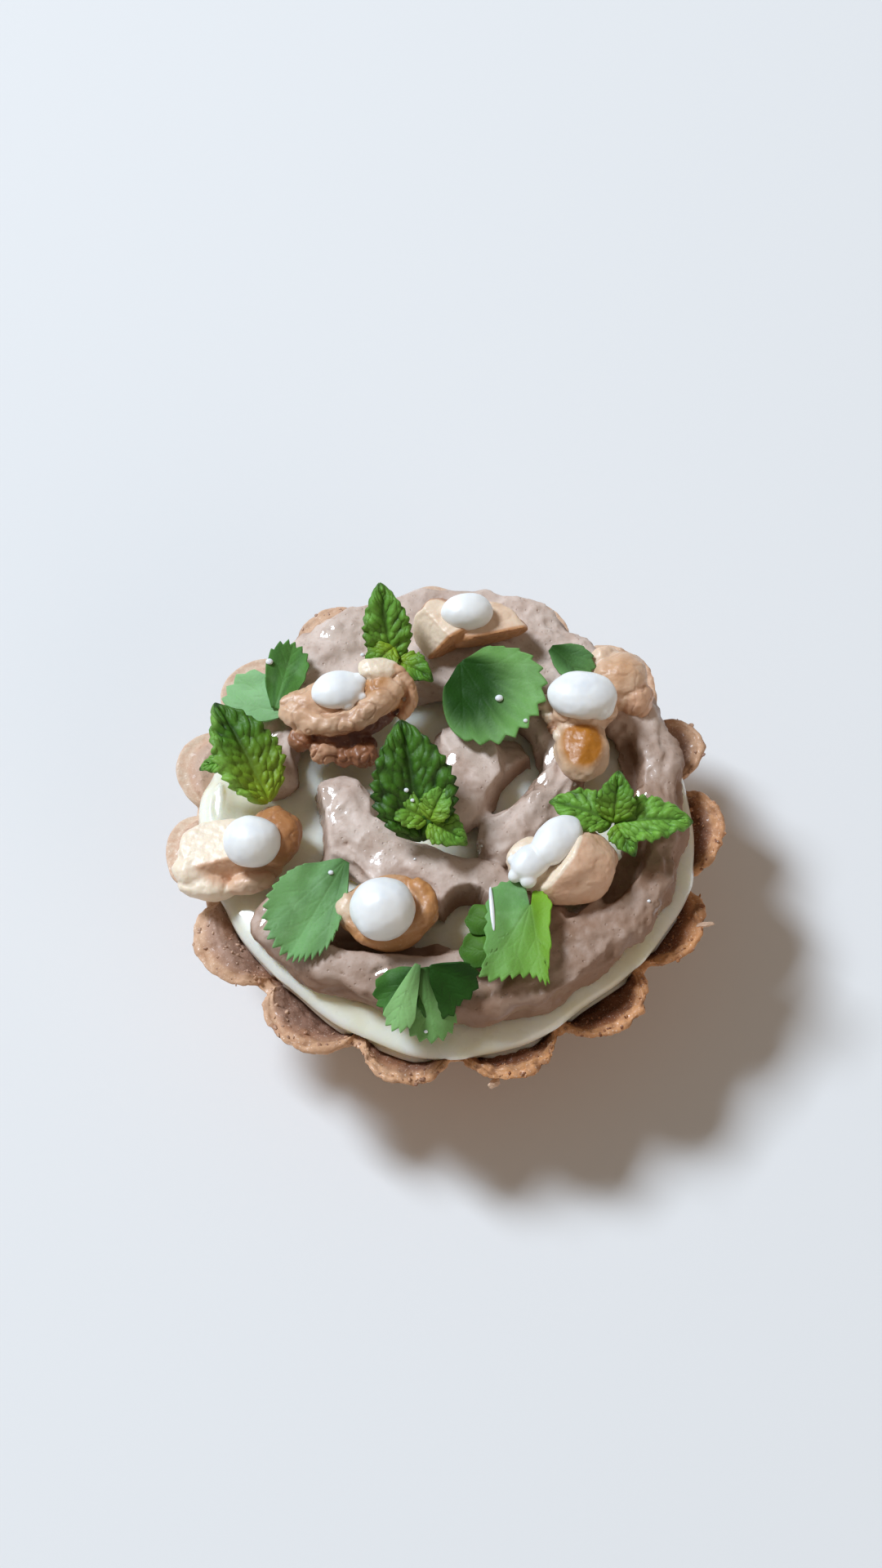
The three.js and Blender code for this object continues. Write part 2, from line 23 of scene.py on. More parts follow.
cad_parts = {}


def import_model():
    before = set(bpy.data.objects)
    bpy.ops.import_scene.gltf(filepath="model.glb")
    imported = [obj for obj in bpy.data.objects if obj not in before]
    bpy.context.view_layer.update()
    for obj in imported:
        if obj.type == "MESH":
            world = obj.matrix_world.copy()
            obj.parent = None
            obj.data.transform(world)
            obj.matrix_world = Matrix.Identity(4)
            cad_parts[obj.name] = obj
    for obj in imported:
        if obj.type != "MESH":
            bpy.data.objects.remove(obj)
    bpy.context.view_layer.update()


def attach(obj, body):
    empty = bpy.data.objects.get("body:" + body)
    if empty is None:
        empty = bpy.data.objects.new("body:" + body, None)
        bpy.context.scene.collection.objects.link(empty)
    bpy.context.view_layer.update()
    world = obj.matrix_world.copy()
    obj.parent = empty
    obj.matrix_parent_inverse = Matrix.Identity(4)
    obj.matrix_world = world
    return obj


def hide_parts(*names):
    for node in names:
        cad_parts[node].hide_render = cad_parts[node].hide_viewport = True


Array = NDArray[np.float64]
Colour = tuple[float, float, float]
Place = tuple[float, float, float]
Rows = tuple[tuple[float, ...], ...]
Piece = bpy.types.Object
Finish = bpy.types.Material

LOG = logging.getLogger("tartlet")
MM = 0.001
ROOT = "root"
WHOLE_TURN = 2 * np.pi


class Slot(Enum):
    """The record's material slots."""

    CRUST = "crust"
    CREAM = "cream"
    MOUSSE = "mousse"
    WALNUT = "walnut"
    DROP = "drop"
    MINT = "mint"
    CORIANDER = "coriander"


# ---- noise, as whole arrays

EDGE_DIRECTIONS = np.array(
    [(a, b, 0) for a, b in product((-1, 1), repeat=2)]
    + [(a, 0, b) for a, b in product((-1, 1), repeat=2)]
    + [(0, a, b) for a, b in product((-1, 1), repeat=2)],
    float,
)


def lattice(cells: NDArray[np.int64], seed: int) -> Array:
    """Gives each whole-numbered cell its own number from 0 to 1.

    The three coordinates are multiplied by large odd numbers, joined with the seed, and their
    bits are mixed.

    Args:
        cells: Cell coordinates, with the three numbers on the last axis.
        seed: Which pattern.

    Returns:
        One number for each cell.
    """
    key = cells.astype(np.uint32)
    mixed = key[..., 0] * np.uint32(0x9E3779B1) ^ key[..., 1] * np.uint32(0x85EBCA77)
    mixed ^= key[..., 2] * np.uint32(0xC2B2AE3D)
    mixed += np.uint32((seed * 0x27D4EB2F) & 0xFFFFFFFF)
    for shift, factor in ((15, 0x2C1B3C6D), (12, 0x297A2D39), (15, 1)):
        mixed ^= mixed >> np.uint32(shift)
        mixed *= np.uint32(factor)
    return mixed / float(2**32)


def noise(points: Array, size: float, seed: int) -> Array:
    """Smooth noise between about -1 and 1.

    Each corner of a cell holds a direction. Its dot product with the way from that corner to the
    point is blended over the eight corners by a fifth-degree ease.

    Args:
        points: Places, three numbers each.
        size: Width of a cell.
        seed: Which pattern.

    Returns:
        One value for each point.
    """
    place = points / size
    base = np.floor(place).astype(np.int64)
    local = place - base
    ease = local**3 * (local * (local * 6 - 15) + 10)
    total = np.zeros(len(points))
    for corner in product((0, 1), repeat=3):
        pick = (lattice(base + corner, seed) * len(EDGE_DIRECTIONS)).astype(int)
        slope = np.einsum("ij,ij->i", EDGE_DIRECTIONS[pick], local - corner)
        total += slope * np.prod(np.where(corner, ease, 1 - ease), axis=1)
    return total


def layered(points: Array, size: float, seed: int, layers: int = 3) -> Array:
    """Sum of noises, each half as wide and half as high as the one before.

    Args:
        points: Places, three numbers each.
        size: Width of the widest noise.
        seed: Which pattern.
        layers: How many noises.

    Returns:
        One value for each point.
    """
    return sum(noise(points, size / 2**k, seed + k) / 2**k for k in range(layers))


@dataclass(frozen=True)
class Relief:
    """Uneven relief made of noise.

    Attributes:
        height: How high it stands, in millimetres or as a share.
        size: Width of its lumps.
        seed: Which pattern.
        layers: How many noises it sums, each half as wide and half as high as the one before.
    """

    height: float
    size: float
    seed: int
    layers: int = 1

    def at(self, points: Array) -> Array:
        """The relief at each point, up and down from 0."""
        return self.height * layered(points, self.size, self.seed, self.layers)

    def furrows(self, points: Array) -> Array:
        """The relief folded up at 0, which makes sharp valleys between round ridges."""
        return np.abs(self.at(points))


def nearest(points: Array, size: float, seed: int) -> tuple[Array, Array]:
    """Distance to the nearest of the scattered marks, one of which lies in each cell.

    Args:
        points: Places, three numbers each.
        size: Width of a cell.
        seed: Which pattern.

    Returns:
        The distance in millimetres, and the nearest mark's own number from 0 to 1.
    """
    place = points / size
    base = np.floor(place).astype(np.int64)
    gap = np.full(len(points), np.inf)
    own = np.zeros(len(points))
    for step in product((-1, 0, 1), repeat=3):
        cell = base + step
        mark = cell + np.stack([lattice(cell, seed + k) for k in range(3)], axis=1)
        here = np.linalg.norm(place - mark, axis=1)
        closer = here < gap
        gap = np.where(closer, here, gap)
        own = np.where(closer, lattice(cell, seed + 3), own)
    return gap * size, own


@dataclass(frozen=True)
class Dimples:
    """Scattered round dimples.

    Attributes:
        size: Width of a cell, of which some have a dimple.
        radius: Radius of a dimple.
        share: How many of the cells have one.
        seed: Which pattern.
    """

    size: float
    radius: float
    share: float
    seed: int

    def at(self, points: Array) -> Array:
        """1 in the middle of each dimple and 0 outside."""
        gap, own = nearest(points, self.size, self.seed)
        return np.where(own < self.share, ease_between(self.radius, 0.0, gap), 0.0)


def ease_between(low: float, high: float, value: Array) -> Array:
    """0 at `low`, 1 at `high` and an S-curve between them. `low` may be the larger one."""
    share = np.clip((value - low) / (high - low), 0, 1)
    return share * share * (3 - 2 * share)


def blend(a: Any, b: Any, share: Any) -> Any:
    """From a at share 0 to b at share 1, along a straight line."""
    return a + (b - a) * share


def through(controls: Array, at: Array) -> Array:
    """A smooth line or skin through control rows, by a Catmull-Rom cubic of four rows.

    Args:
        controls: Rows to pass through, along the first axis.
        at: Row numbers to work out, which may be fractions.

    Returns:
        The rows at those numbers.
    """
    last = len(controls) - 1
    k = np.clip(np.floor(at).astype(int), 0, last - 1)
    t = (at - k).reshape((-1,) + (1,) * (controls.ndim - 1))
    p, q, r, s = (controls[np.clip(k + step, 0, last)] for step in (-1, 0, 1, 2))
    return q + 0.5 * t * (r - p + t * (2 * p - 5 * q + 4 * r - s + t * (3 * (q - r) + s - p)))


# ---- meshes


@dataclass
class Skin:
    """A surface on its way to a mesh.

    Attributes:
        points: Corners in millimetres.
        faces: Arrays of corner numbers, three or four to a face.
        values: Named numbers, one for each corner.
    """

    points: Array
    faces: list[NDArray[np.int64]]
    values: dict[str, Array] = field(default_factory=dict)

    def built(self, name: str) -> Piece:
        """Makes the mesh object, in metres, and links it to the scene.

        Args:
            name: Its name.

        Returns:
            The object.
        """
        mesh = bpy.data.meshes.new(name)
        corners = np.concatenate([face.ravel() for face in self.faces])
        sides = np.concatenate([np.full(len(face), face.shape[1]) for face in self.faces])
        mesh.vertices.add(len(self.points))
        mesh.loops.add(len(corners))
        mesh.polygons.add(len(sides))
        mesh.loops.foreach_set("vertex_index", corners)
        mesh.polygons.foreach_set("loop_start", np.cumsum(sides) - sides)
        write_points(mesh, self.points)
        mesh.update(calc_edges=True)
        mesh.shade_smooth()
        for key, numbers in self.values.items():
            write_value(mesh, key, numbers)
        made = bpy.data.objects.new(name, mesh)
        bpy.context.scene.collection.objects.link(made)
        return made


def read_rows(mesh: bpy.types.Mesh, key: str) -> Array:
    """Reads three numbers for each corner of a mesh.

    Args:
        mesh: The mesh.
        key: Blender's name for the numbers.

    Returns:
        One row for each corner.
    """
    flat = np.empty(3 * len(mesh.vertices), np.float32)
    mesh.vertices.foreach_get(key, flat)
    return flat.reshape(-1, 3).astype(float)


def read_points(mesh: bpy.types.Mesh) -> Array:
    """Corners of a mesh in millimetres."""
    return read_rows(mesh, "co") / MM


def read_normals(mesh: bpy.types.Mesh) -> Array:
    """Which way the mesh faces at each corner."""
    return read_rows(mesh, "normal")


def write_points(mesh: bpy.types.Mesh, points: Array) -> None:
    """Puts corners, given in millimetres, into a mesh."""
    mesh.vertices.foreach_set("co", (points * MM).astype(np.float32).ravel())
    mesh.update()


def write_value(mesh: bpy.types.Mesh, name: str, numbers: Array) -> None:
    """Stores one named number for each corner, which materials read as an attribute."""
    kept = mesh.attributes.get(name) or mesh.attributes.new(name, "FLOAT", "POINT")
    kept.data.foreach_set("value", np.broadcast_to(numbers, len(mesh.vertices)).astype(np.float32))


def read_value(mesh: bpy.types.Mesh, name: str) -> Array:
    """Reads back one named number for each corner.

    Args:
        mesh: The mesh.
        name: The number's name.

    Returns:
        One number for each corner.
    """
    flat = np.empty(len(mesh.vertices), np.float32)
    mesh.attributes[name].data.foreach_get("value", flat)
    return flat.astype(float)


def quads(rows: int, columns: int, wrap: bool) -> NDArray[np.int64]:
    """Corner numbers of the faces of a grid whose corners are numbered row by row.

    Args:
        rows: How many rows of corners.
        columns: How many corners in a row.
        wrap: Whether the last column joins the first.

    Returns:
        Four corner numbers for each face.
    """
    row = columns * np.arange(rows - 1)[:, None]
    column = np.arange(columns if wrap else columns - 1)[None, :]
    beside = (column + 1) % columns
    corners = (row + column, row + beside, row + columns + beside, row + columns + column)
    return np.stack(corners, axis=-1).reshape(-1, 4)


def closed_tube(rings: Array, start: Array, end: Array) -> Skin:
    """A skin carried over rings of corners, closed by a fan at each end.

    Args:
        rings: Corners as [ring, corner, xyz], anticlockwise seen from the end.
        start: The corner that closes the first ring.
        end: The corner that closes the last ring.

    Returns:
        The closed skin.
    """
    rows, columns, _ = rings.shape
    points = np.concatenate([rings.reshape(-1, 3), [start], [end]])
    here = np.arange(columns)
    beside = (here + 1) % columns
    first = np.stack([np.full(columns, rows * columns), beside, here], axis=1)
    top = (rows - 1) * columns
    last = np.stack([np.full(columns, rows * columns + 1), top + here, top + beside], axis=1)
    return Skin(points, [quads(rows, columns, True), first, last])


def joined(skins: Iterable[Skin]) -> Skin:
    """Several skins as one, with their corners numbered on.

    Args:
        skins: Skins that hold the same named numbers.

    Returns:
        The one skin.
    """
    whole = list(skins)
    starts = np.cumsum([0] + [len(skin.points) for skin in whole])
    faces = [face + start for skin, start in zip(whole, starts) for face in skin.faces]
    names = whole[0].values
    values = {name: np.concatenate([skin.values[name] for skin in whole]) for name in names}
    return Skin(np.concatenate([skin.points for skin in whole]), faces, values)


def sheet(middle: Array, thickness: Any, values: dict[str, Array]) -> Skin:
    """A thin closed leaf round a middle surface.

    The middle surface is moved half the thickness along its normal to both sides, and the two
    sides meet along the edge, where the thickness runs out to a third.

    Args:
        middle: Corners of the middle surface as [row, column, xyz].
        thickness: In millimetres, one number or one for each corner.
        values: Named numbers for each corner of the middle surface.

    Returns:
        The closed skin.
    """
    rows, columns, _ = middle.shape
    along, across = np.gradient(middle, axis=0), np.gradient(middle, axis=1)
    normal = np.cross(across, along)
    normal /= np.linalg.norm(normal, axis=-1, keepdims=True) + 1e-9
    half = np.full((rows, columns), 0.5)
    half[[0, -1], :] = half[:, [0, -1]] = 0.17
    lift = normal * (half * thickness)[..., None]
    count = rows * columns
    points = np.concatenate([(middle + lift).reshape(-1, 3), (middle - lift).reshape(-1, 3)])
    face = quads(rows, columns, False)
    number = np.arange(count).reshape(rows, columns)
    edge = np.concatenate([number[0, :-1], number[:-1, -1], number[-1, :0:-1], number[:0:-1, 0]])
    beside = np.roll(edge, -1)
    rim = np.stack([edge, edge + count, beside + count, beside], axis=1)
    doubled = {name: np.tile(value.ravel(), 2) for name, value in values.items()}
    return Skin(points, [face, face[:, ::-1] + count, rim], doubled)


def melted(skins: Iterable[Skin], name: str, voxel: float, rounds: int) -> Piece:
    """One closed skin round several that overlap, by a voxel remesh and then a smoothing.

    Args:
        skins: Closed skins.
        name: Name of the new object.
        voxel: Width of a voxel in millimetres.
        rounds: How many rounds of smoothing.

    Returns:
        The new object, with nothing live on it.
    """
    bare = [Skin(skin.points, skin.faces) for skin in skins]
    rough = joined(bare).built(name + "_rough")
    remesh = rough.modifiers.new("Remesh", "REMESH")
    remesh.mode = "VOXEL"
    remesh.voxel_size = voxel * MM
    smooth = rough.modifiers.new("Smooth", "SMOOTH")
    smooth.iterations = rounds
    smooth.factor = 0.5
    depsgraph = bpy.context.evaluated_depsgraph_get()
    mesh = bpy.data.meshes.new_from_object(rough.evaluated_get(depsgraph), depsgraph=depsgraph)
    bpy.data.objects.remove(rough)
    mesh.name = name
    mesh.shade_smooth()
    made = bpy.data.objects.new(name, mesh)
    bpy.context.scene.collection.objects.link(made)
    return made


def push(piece: Piece, height: Array) -> None:
    """Moves each corner of a piece along its normal by its own height in millimetres."""
    mesh = piece.data
    write_points(mesh, read_points(mesh) + read_normals(mesh) * height[:, None])


def seat_tree(pieces: Iterable[Piece]) -> BVHTree:
    """A search tree over finished pieces, that tells where their tops are.

    Args:
        pieces: The finished pieces.

    Returns:
        The tree, in millimetres.
    """
    points: list[Array] = []
    faces: list[list[int]] = []
    start = 0
    for piece in pieces:
        corners = read_points(piece.data)
        points.extend(corners)
        faces.extend([start + k for k in face.vertices] for face in piece.data.polygons)
        start += len(corners)
    return BVHTree.FromPolygons(points, faces)


def standing_on(tree: BVHTree, x: float, y: float) -> Vector:
    """The highest point of the pieces at a place.

    Args:
        tree: The tree over the pieces.
        x: How far right the place is.
        y: How far back it is.

    Returns:
        The point.
    """
    far_up = Vector((x, y, 80))
    spot, _, _, _ = tree.ray_cast(far_up, Vector((0, 0, -1)))
    if spot is None:
        raise ValueError(f"nothing stands at {x:.1f}, {y:.1f}")
    return spot


# ---- shader maths


def srgb(*display: int) -> Colour:
    """Turns a display colour into linear light, by the usual display curve.

    Args:
        display: Red, green and blue, 0 to 255.

    Returns:
        The linear colour, 0 to 1.
    """
    share = np.array(display) / 255
    linear = np.where(share <= 0.04045, share / 12.92, ((share + 0.055) / 1.055) ** 2.4)
    return tuple(float(part) for part in linear)


@dataclass(frozen=True)
class Wire:
    """An output socket of a shader node, on which sums are written as Python expressions."""

    sheet: "NodeSheet"
    socket: bpy.types.NodeSocket

    def math(self, operation: str, first: "Value", second: "Value" = 0.0) -> "Wire":
        """Adds one Math node."""
        return self.sheet.add("ShaderNodeMath", {"operation": operation}, {0: first, 1: second})

    def __add__(self, other: "Value") -> "Wire":
        """Sum."""
        return self.math("ADD", self, other)

    __radd__ = __add__

    def __sub__(self, other: "Value") -> "Wire":
        """Difference."""
        return self.math("SUBTRACT", self, other)

    def __rsub__(self, other: "Value") -> "Wire":
        """Difference, with the wire taken away."""
        return self.math("SUBTRACT", other, self)

    def __mul__(self, other: "Value") -> "Wire":
        """Product."""
        return self.math("MULTIPLY", self, other)

    __rmul__ = __mul__

    def __pow__(self, other: "Value") -> "Wire":
        """Power."""
        return self.math("POWER", self, other)

    def eased(self, low: float, high: float) -> "Wire":
        """0 at `low`, 1 at `high` and an S-curve between them."""
        inputs = {"Value": self, "From Min": low, "From Max": high}
        return self.sheet.add("ShaderNodeMapRange", {"interpolation_type": "SMOOTHSTEP"}, inputs)


Value = Union[Wire, float]
Paint = Union[Wire, Colour]
Inputs = dict[Union[int, str], Any]


class NodeSheet:
    """The node tree of one material."""

    def __init__(self, name: str) -> None:
        """Makes a material with only its output node."""
        self.material = bpy.data.materials.new(name)
        self.material.use_nodes = True
        self.tree = self.material.node_tree
        self.tree.nodes.clear()
        self.place = self.add("ShaderNodeTexCoord", {}, {}, "Object")

    def node(self, kind: str, settings: dict[str, Any], inputs: Inputs) -> bpy.types.Node:
        """Makes a node.

        Args:
            kind: The node's type.
            settings: Its own settings, set first.
            inputs: Values or wires for its input sockets, by name or number.

        Returns:
            The node.
        """
        made = self.tree.nodes.new(kind)
        for key, setting in settings.items():
            setattr(made, key, setting)
        for key, value in inputs.items():
            if isinstance(value, Wire):
                self.tree.links.new(value.socket, made.inputs[key])
            else:
                is_colour = made.inputs[key].type == "RGBA"
                made.inputs[key].default_value = (*value, 1.0) if is_colour else value
        return made

    def add(self, kind: str, settings: dict[str, Any], inputs: Inputs, outlet: Union[int, str] = 0) -> Wire:
        """Makes a node and hands back one of its outputs."""
        return Wire(self, self.node(kind, settings, inputs).outputs[outlet])

    def mix(self, first: Paint, second: Paint, share: Value, way: str = "MIX") -> Wire:
        """Blends two colours."""
        settings = {"data_type": "RGBA", "blend_type": way}
        return self.add("ShaderNodeMix", settings, {0: share, 6: first, 7: second}, 2)

    def value(self, name: str) -> Wire:
        """A named number that the mesh holds for each corner."""
        return self.add("ShaderNodeAttribute", {"attribute_name": name}, {}, "Fac")

    def grain(self, size: float, detail: float = 2.0) -> Wire:
        """Noise from 0 to 1 whose blobs are about `size` millimetres wide."""
        inputs = {"Vector": self.place, "Scale": 1 / (size * MM), "Detail": detail}
        return self.add("ShaderNodeTexNoise", {}, inputs)

    def specks(self, size: float) -> Wire:
        """Distance to the nearest of scattered marks, in parts of `size`, their spacing."""
        inputs = {"Vector": self.place, "Scale": 1 / (size * MM)}
        return self.add("ShaderNodeTexVoronoi", {}, inputs, "Distance")

    def bump(self, height: Wire, depth: float) -> Wire:
        """Turns a height from 0 to 1 into a normal. `depth` is its range in millimetres."""
        inputs = {"Height": height, "Distance": depth * MM, "Strength": 1.0}
        return self.add("ShaderNodeBump", {}, inputs)

    def finished(self, **sockets: Any) -> Finish:
        """Adds the surface shader and the output.

        Args:
            sockets: Values or wires for the shader's sockets, with _ for the spaces in their names.

        Returns:
            The material.
        """
        named = {key.replace("_", " "): value for key, value in sockets.items()}
        shader = self.add("ShaderNodeBsdfPrincipled", {}, named)
        self.node("ShaderNodeOutputMaterial", {}, {"Surface": shader})
        return self.material


# ---- finishes


@dataclass(frozen=True)
class BakedCrust:
    """Shortcrust: matt and crumbly, brown walls, inside mauve tan to orange in painted shade, pale rim."""

    wall: Colour = srgb(190, 150, 112)
    scorch_and_shade: Colour = srgb(100, 58, 36)
    inside_left: Colour = srgb(216, 184, 164)
    inside_right: Colour = srgb(116, 60, 32)
    rim_left: Colour = srgb(226, 200, 176)
    rim_right: Colour = srgb(214, 154, 104)
    toast: Colour = srgb(196, 132, 84)
    painted_glint: Colour = srgb(240, 222, 206)

    def material(self) -> Finish:
        """Mixes the colours by the mesh's own numbers and grain of three sizes, painting shade and glints.

        Returns:
            The material.
        """
        nodes = NodeSheet("baked_crust")
        coarse, fine, dust = nodes.grain(5.0, 3), nodes.grain(0.9, 4), nodes.grain(0.25)
        warm, baked_dots = nodes.value("warm"), fine.eased(0.5, 0.75)
        wall = nodes.mix(self.wall, self.toast, nodes.grain(9.0).eased(0.35, 0.7))
        wall = nodes.mix(wall, self.scorch_and_shade, baked_dots * 0.3)
        # Inside goes from mauve tan at the back left to orange brown at the front right: painted shade away
        # from the window, with each petal's own baking.
        inside = nodes.mix(self.inside_left, self.inside_right, warm)
        inside = nodes.mix(inside, self.toast, coarse.eased(0.45, 0.65) * (0.15 + warm * 0.35))
        # Painted shade deep in the petals' hollows under the cream's lip, most at the front right, with real
        # baked dots.
        browned = nodes.value("deep") * (warm**1.5 * 0.85) + baked_dots * 0.25
        inside = nodes.mix(inside, self.scorch_and_shade, browned)
        body = nodes.mix(wall, inside, nodes.value("inside"))
        # The rim darkens towards the front right with the same painted shade.
        rim = nodes.mix(self.rim_left, self.rim_right, warm)
        body = nodes.mix(body, rim, nodes.value("rim") * (0.35 + fine.eased(0.35, 0.6) * 0.5))
        # Painted shade in the pits.
        body = nodes.mix(body, self.scorch_and_shade, nodes.value("pit") * 0.5)
        return nodes.finished(
            # Painted glints: pale specks where the finest grain peaks.
            Base_Color=nodes.mix(body, self.painted_glint, dust.eased(0.6, 0.72) * 0.45),
            Roughness=0.74 - fine.eased(0.5, 0.62) * 0.5,
            Normal=nodes.bump(fine * 0.6 + dust * 0.4, 0.12),
            Specular_IOR_Level=0.35,
        )


@dataclass(frozen=True)
class SetCream:
    """Set custard cream: smooth, wet and ivory, with light that sinks a little way in."""

    body: Colour = srgb(240, 238, 222)
    shade: Colour = srgb(234, 228, 202)

    def material(self) -> Finish:
        """Clouds two near colours together.

        Returns:
            The material.
        """
        nodes = NodeSheet("set_cream")
        return nodes.finished(
            Base_Color=nodes.mix(self.body, self.shade, nodes.grain(7.0).eased(0.4, 0.7)),
            Roughness=0.2 + nodes.grain(2.4) * 0.16,
            Normal=nodes.bump(nodes.grain(1.6), 0.03),
            Coat_Weight=0.8,
            Coat_Roughness=0.06,
            Subsurface_Weight=0.8,
            Subsurface_Radius=(1.0, 0.85, 0.6),
            Subsurface_Scale=0.003,
        )


@dataclass(frozen=True)
class PipedMousse:
    """Nut mousse: mauve brown, satin with wet places, and fine air holes."""

    body: Colour = srgb(212, 190, 176)
    light: Colour = srgb(226, 208, 196)
    dark: Colour = srgb(160, 126, 106)
    shade_and_browning: Colour = srgb(136, 98, 70)

    def material(self) -> Finish:
        """Clouds three browns, paints shade into the holes and the hollows, and wets the `wet` places.

        Returns:
            The material.
        """
        nodes = NodeSheet("piped_mousse")
        cloud, fine = nodes.grain(4.5, 3), nodes.grain(0.7, 3)
        colour = nodes.mix(self.body, self.light, cloud.eased(0.5, 0.75))
        colour = nodes.mix(colour, self.dark, (1 - cloud).eased(0.52, 0.75) * 0.6)
        colour = nodes.mix(colour, self.dark, fine.eased(0.55, 0.72) * 0.3)
        # Painted shade in the air holes.
        colour = nodes.mix(colour, self.dark, nodes.value("hole_shade") * 0.85)
        # Painted shade in the hollows, on steep sides and at the front right, with real browning from noise.
        colour = nodes.mix(colour, self.shade_and_browning, nodes.value("low") * 0.85)
        holes = (1 - nodes.specks(1.1)).eased(0.82, 0.95)
        return nodes.finished(
            Base_Color=colour,
            Roughness=0.5 + fine * 0.2 - nodes.value("wet") * 0.48,
            Normal=nodes.bump(fine * 0.5 - holes * 0.5, 0.15),
            Coat_Weight=nodes.value("wet"),
            Coat_Roughness=0.05,
            Subsurface_Weight=0.12,
            Subsurface_Radius=(1.0, 0.7, 0.5),
            Subsurface_Scale=0.0008,
        )


@dataclass(frozen=True)
class ToastedWalnut:
    """Walnut: ivory flesh where it broke, tan to amber skin, with painted shade in the wrinkles."""

    flesh: Colour = srgb(242, 224, 200)
    skin: Colour = srgb(216, 172, 140)
    toasted: Colour = srgb(150, 100, 72)
    dark: Colour = srgb(98, 56, 42)
    amber: Colour = srgb(178, 112, 30)

    def material(self) -> Finish:
        """Goes from flesh over skin to toasted skin as `skin` grows, towards amber, with painted shade in
        creases.

        Returns:
            The material.
        """
        nodes = NodeSheet("toasted_walnut")
        cloud, fine = nodes.grain(2.2, 3), nodes.grain(0.5, 3)
        skin = nodes.value("skin") + cloud * 0.2 - 0.1
        colour = nodes.mix(self.flesh, self.skin, skin.eased(0.12, 0.5))
        colour = nodes.mix(colour, self.toasted, skin.eased(0.55, 0.95))
        colour = nodes.mix(colour, self.dark, skin.eased(0.95, 1.35))
        colour = nodes.mix(colour, self.amber, nodes.value("amber"))
        # Painted shade in the creases.
        colour = nodes.mix(colour, self.toasted, nodes.value("crease") * 0.7)
        colour = nodes.mix(colour, self.flesh, fine.eased(0.6, 0.72) * 0.14)
        return nodes.finished(
            Base_Color=colour,
            Roughness=0.26 + fine * 0.3,
            Normal=nodes.bump(fine, 0.05),
            Subsurface_Weight=0.18,
            Subsurface_Radius=(1.0, 0.6, 0.3),
            Subsurface_Scale=0.0012,
        )


@dataclass(frozen=True)
class WhiteDrop:
    """A smooth drop of white cream."""

    body: Colour = srgb(243, 243, 241)
    shade: Colour = srgb(232, 234, 236)

    def material(self) -> Finish:
        """Clouds the white a very little.

        Returns:
            The material.
        """
        nodes = NodeSheet("white_drop")
        return nodes.finished(
            Base_Color=nodes.mix(self.body, self.shade, nodes.grain(3.0).eased(0.4, 0.8)),
            Roughness=0.34 + nodes.grain(1.2) * 0.1,
            Subsurface_Weight=0.3,
            Subsurface_Radius=(1.0, 0.9, 0.8),
            Subsurface_Scale=0.001,
        )


@dataclass(frozen=True)
class FreshLeaf:
    """A fresh leaf: green from painted shade to painted light, paler veins, yellower where it is young.

    Attributes:
        vein_share: How far its veins show.
        sheen: How bright its reflections are.
    """

    name: str
    deep: Colour
    body: Colour
    light: Colour
    young: Colour
    vein: Colour
    roughness: float
    vein_share: float
    sheen: float

    def material(self) -> Finish:
        """Deep green as painted shade in the hollows, painted light on the swellings, veins over both.

        Returns:
            The material.
        """
        nodes = NodeSheet(self.name)
        cloud, fine = nodes.grain(2.6, 2), nodes.grain(0.35, 2)
        # Painted shade: deep green where the blade swells least.
        colour = nodes.mix(self.deep, self.body, nodes.value("swell").eased(0.0, 0.6))
        # Painted light and sheen from the `pale` share, besides the real pale hem of a mint leaf, and a
        # cloud of tone.
        colour = nodes.mix(colour, self.light, nodes.value("pale") + cloud.eased(0.5, 0.8) * 0.3)
        colour = nodes.mix(colour, self.young, nodes.value("young"))
        colour = nodes.mix(colour, self.vein, nodes.value("vein") * self.vein_share)
        # Painted shade: the `dark` share.
        colour = nodes.mix(colour, self.deep, nodes.value("dark"))
        return nodes.finished(
            Base_Color=colour,
            Roughness=self.roughness + fine * 0.2,
            Specular_IOR_Level=self.sheen,
            Normal=nodes.bump(fine, 0.05),
            Subsurface_Weight=0.12,
            Subsurface_Radius=(0.4, 1.0, 0.2),
            Subsurface_Scale=0.0006,
        )


MINT_GREEN = FreshLeaf(
    "mint_green",
    deep=srgb(26, 56, 6),
    body=srgb(74, 126, 30),
    light=srgb(132, 184, 76),
    young=srgb(150, 172, 40),
    vein=srgb(112, 156, 66),
    roughness=0.4,
    vein_share=0.3,
    sheen=0.28,
)
CORIANDER_GREEN = FreshLeaf(
    "coriander_green",
    deep=srgb(34, 72, 20),
    body=srgb(84, 138, 58),
    light=srgb(142, 188, 130),
    young=srgb(124, 172, 40),
    vein=srgb(150, 192, 120),
    roughness=0.44,
    vein_share=0.12,
    sheen=0.14,
)


@dataclass(frozen=True)
class PaintedSparkleDew:
    """Water drawn as bright, near-white beads that let a little light through: painted highlights."""

    body: Colour = (0.95, 0.97, 1.0)
    clearness: float = 0.12

    def material(self) -> Finish:
        """A smooth, bright and slightly clear surface, near white as a painted highlight."""
        sockets = {"Roughness": 0.04, "Specular_IOR_Level": 0.8, "Transmission_Weight": self.clearness}
        return NodeSheet("painted_sparkle_dew").finished(Base_Color=self.body, **sockets)


@dataclass(frozen=True)
class PaleFloor:
    """A plain pale floor."""

    body: Colour = (0.8, 0.8, 0.8)

    def material(self) -> Finish:
        """One even colour."""
        sockets = {"Base_Color": self.body, "Roughness": 0.6, "Specular_IOR_Level": 0.2}
        return NodeSheet("pale_floor").finished(**sockets)


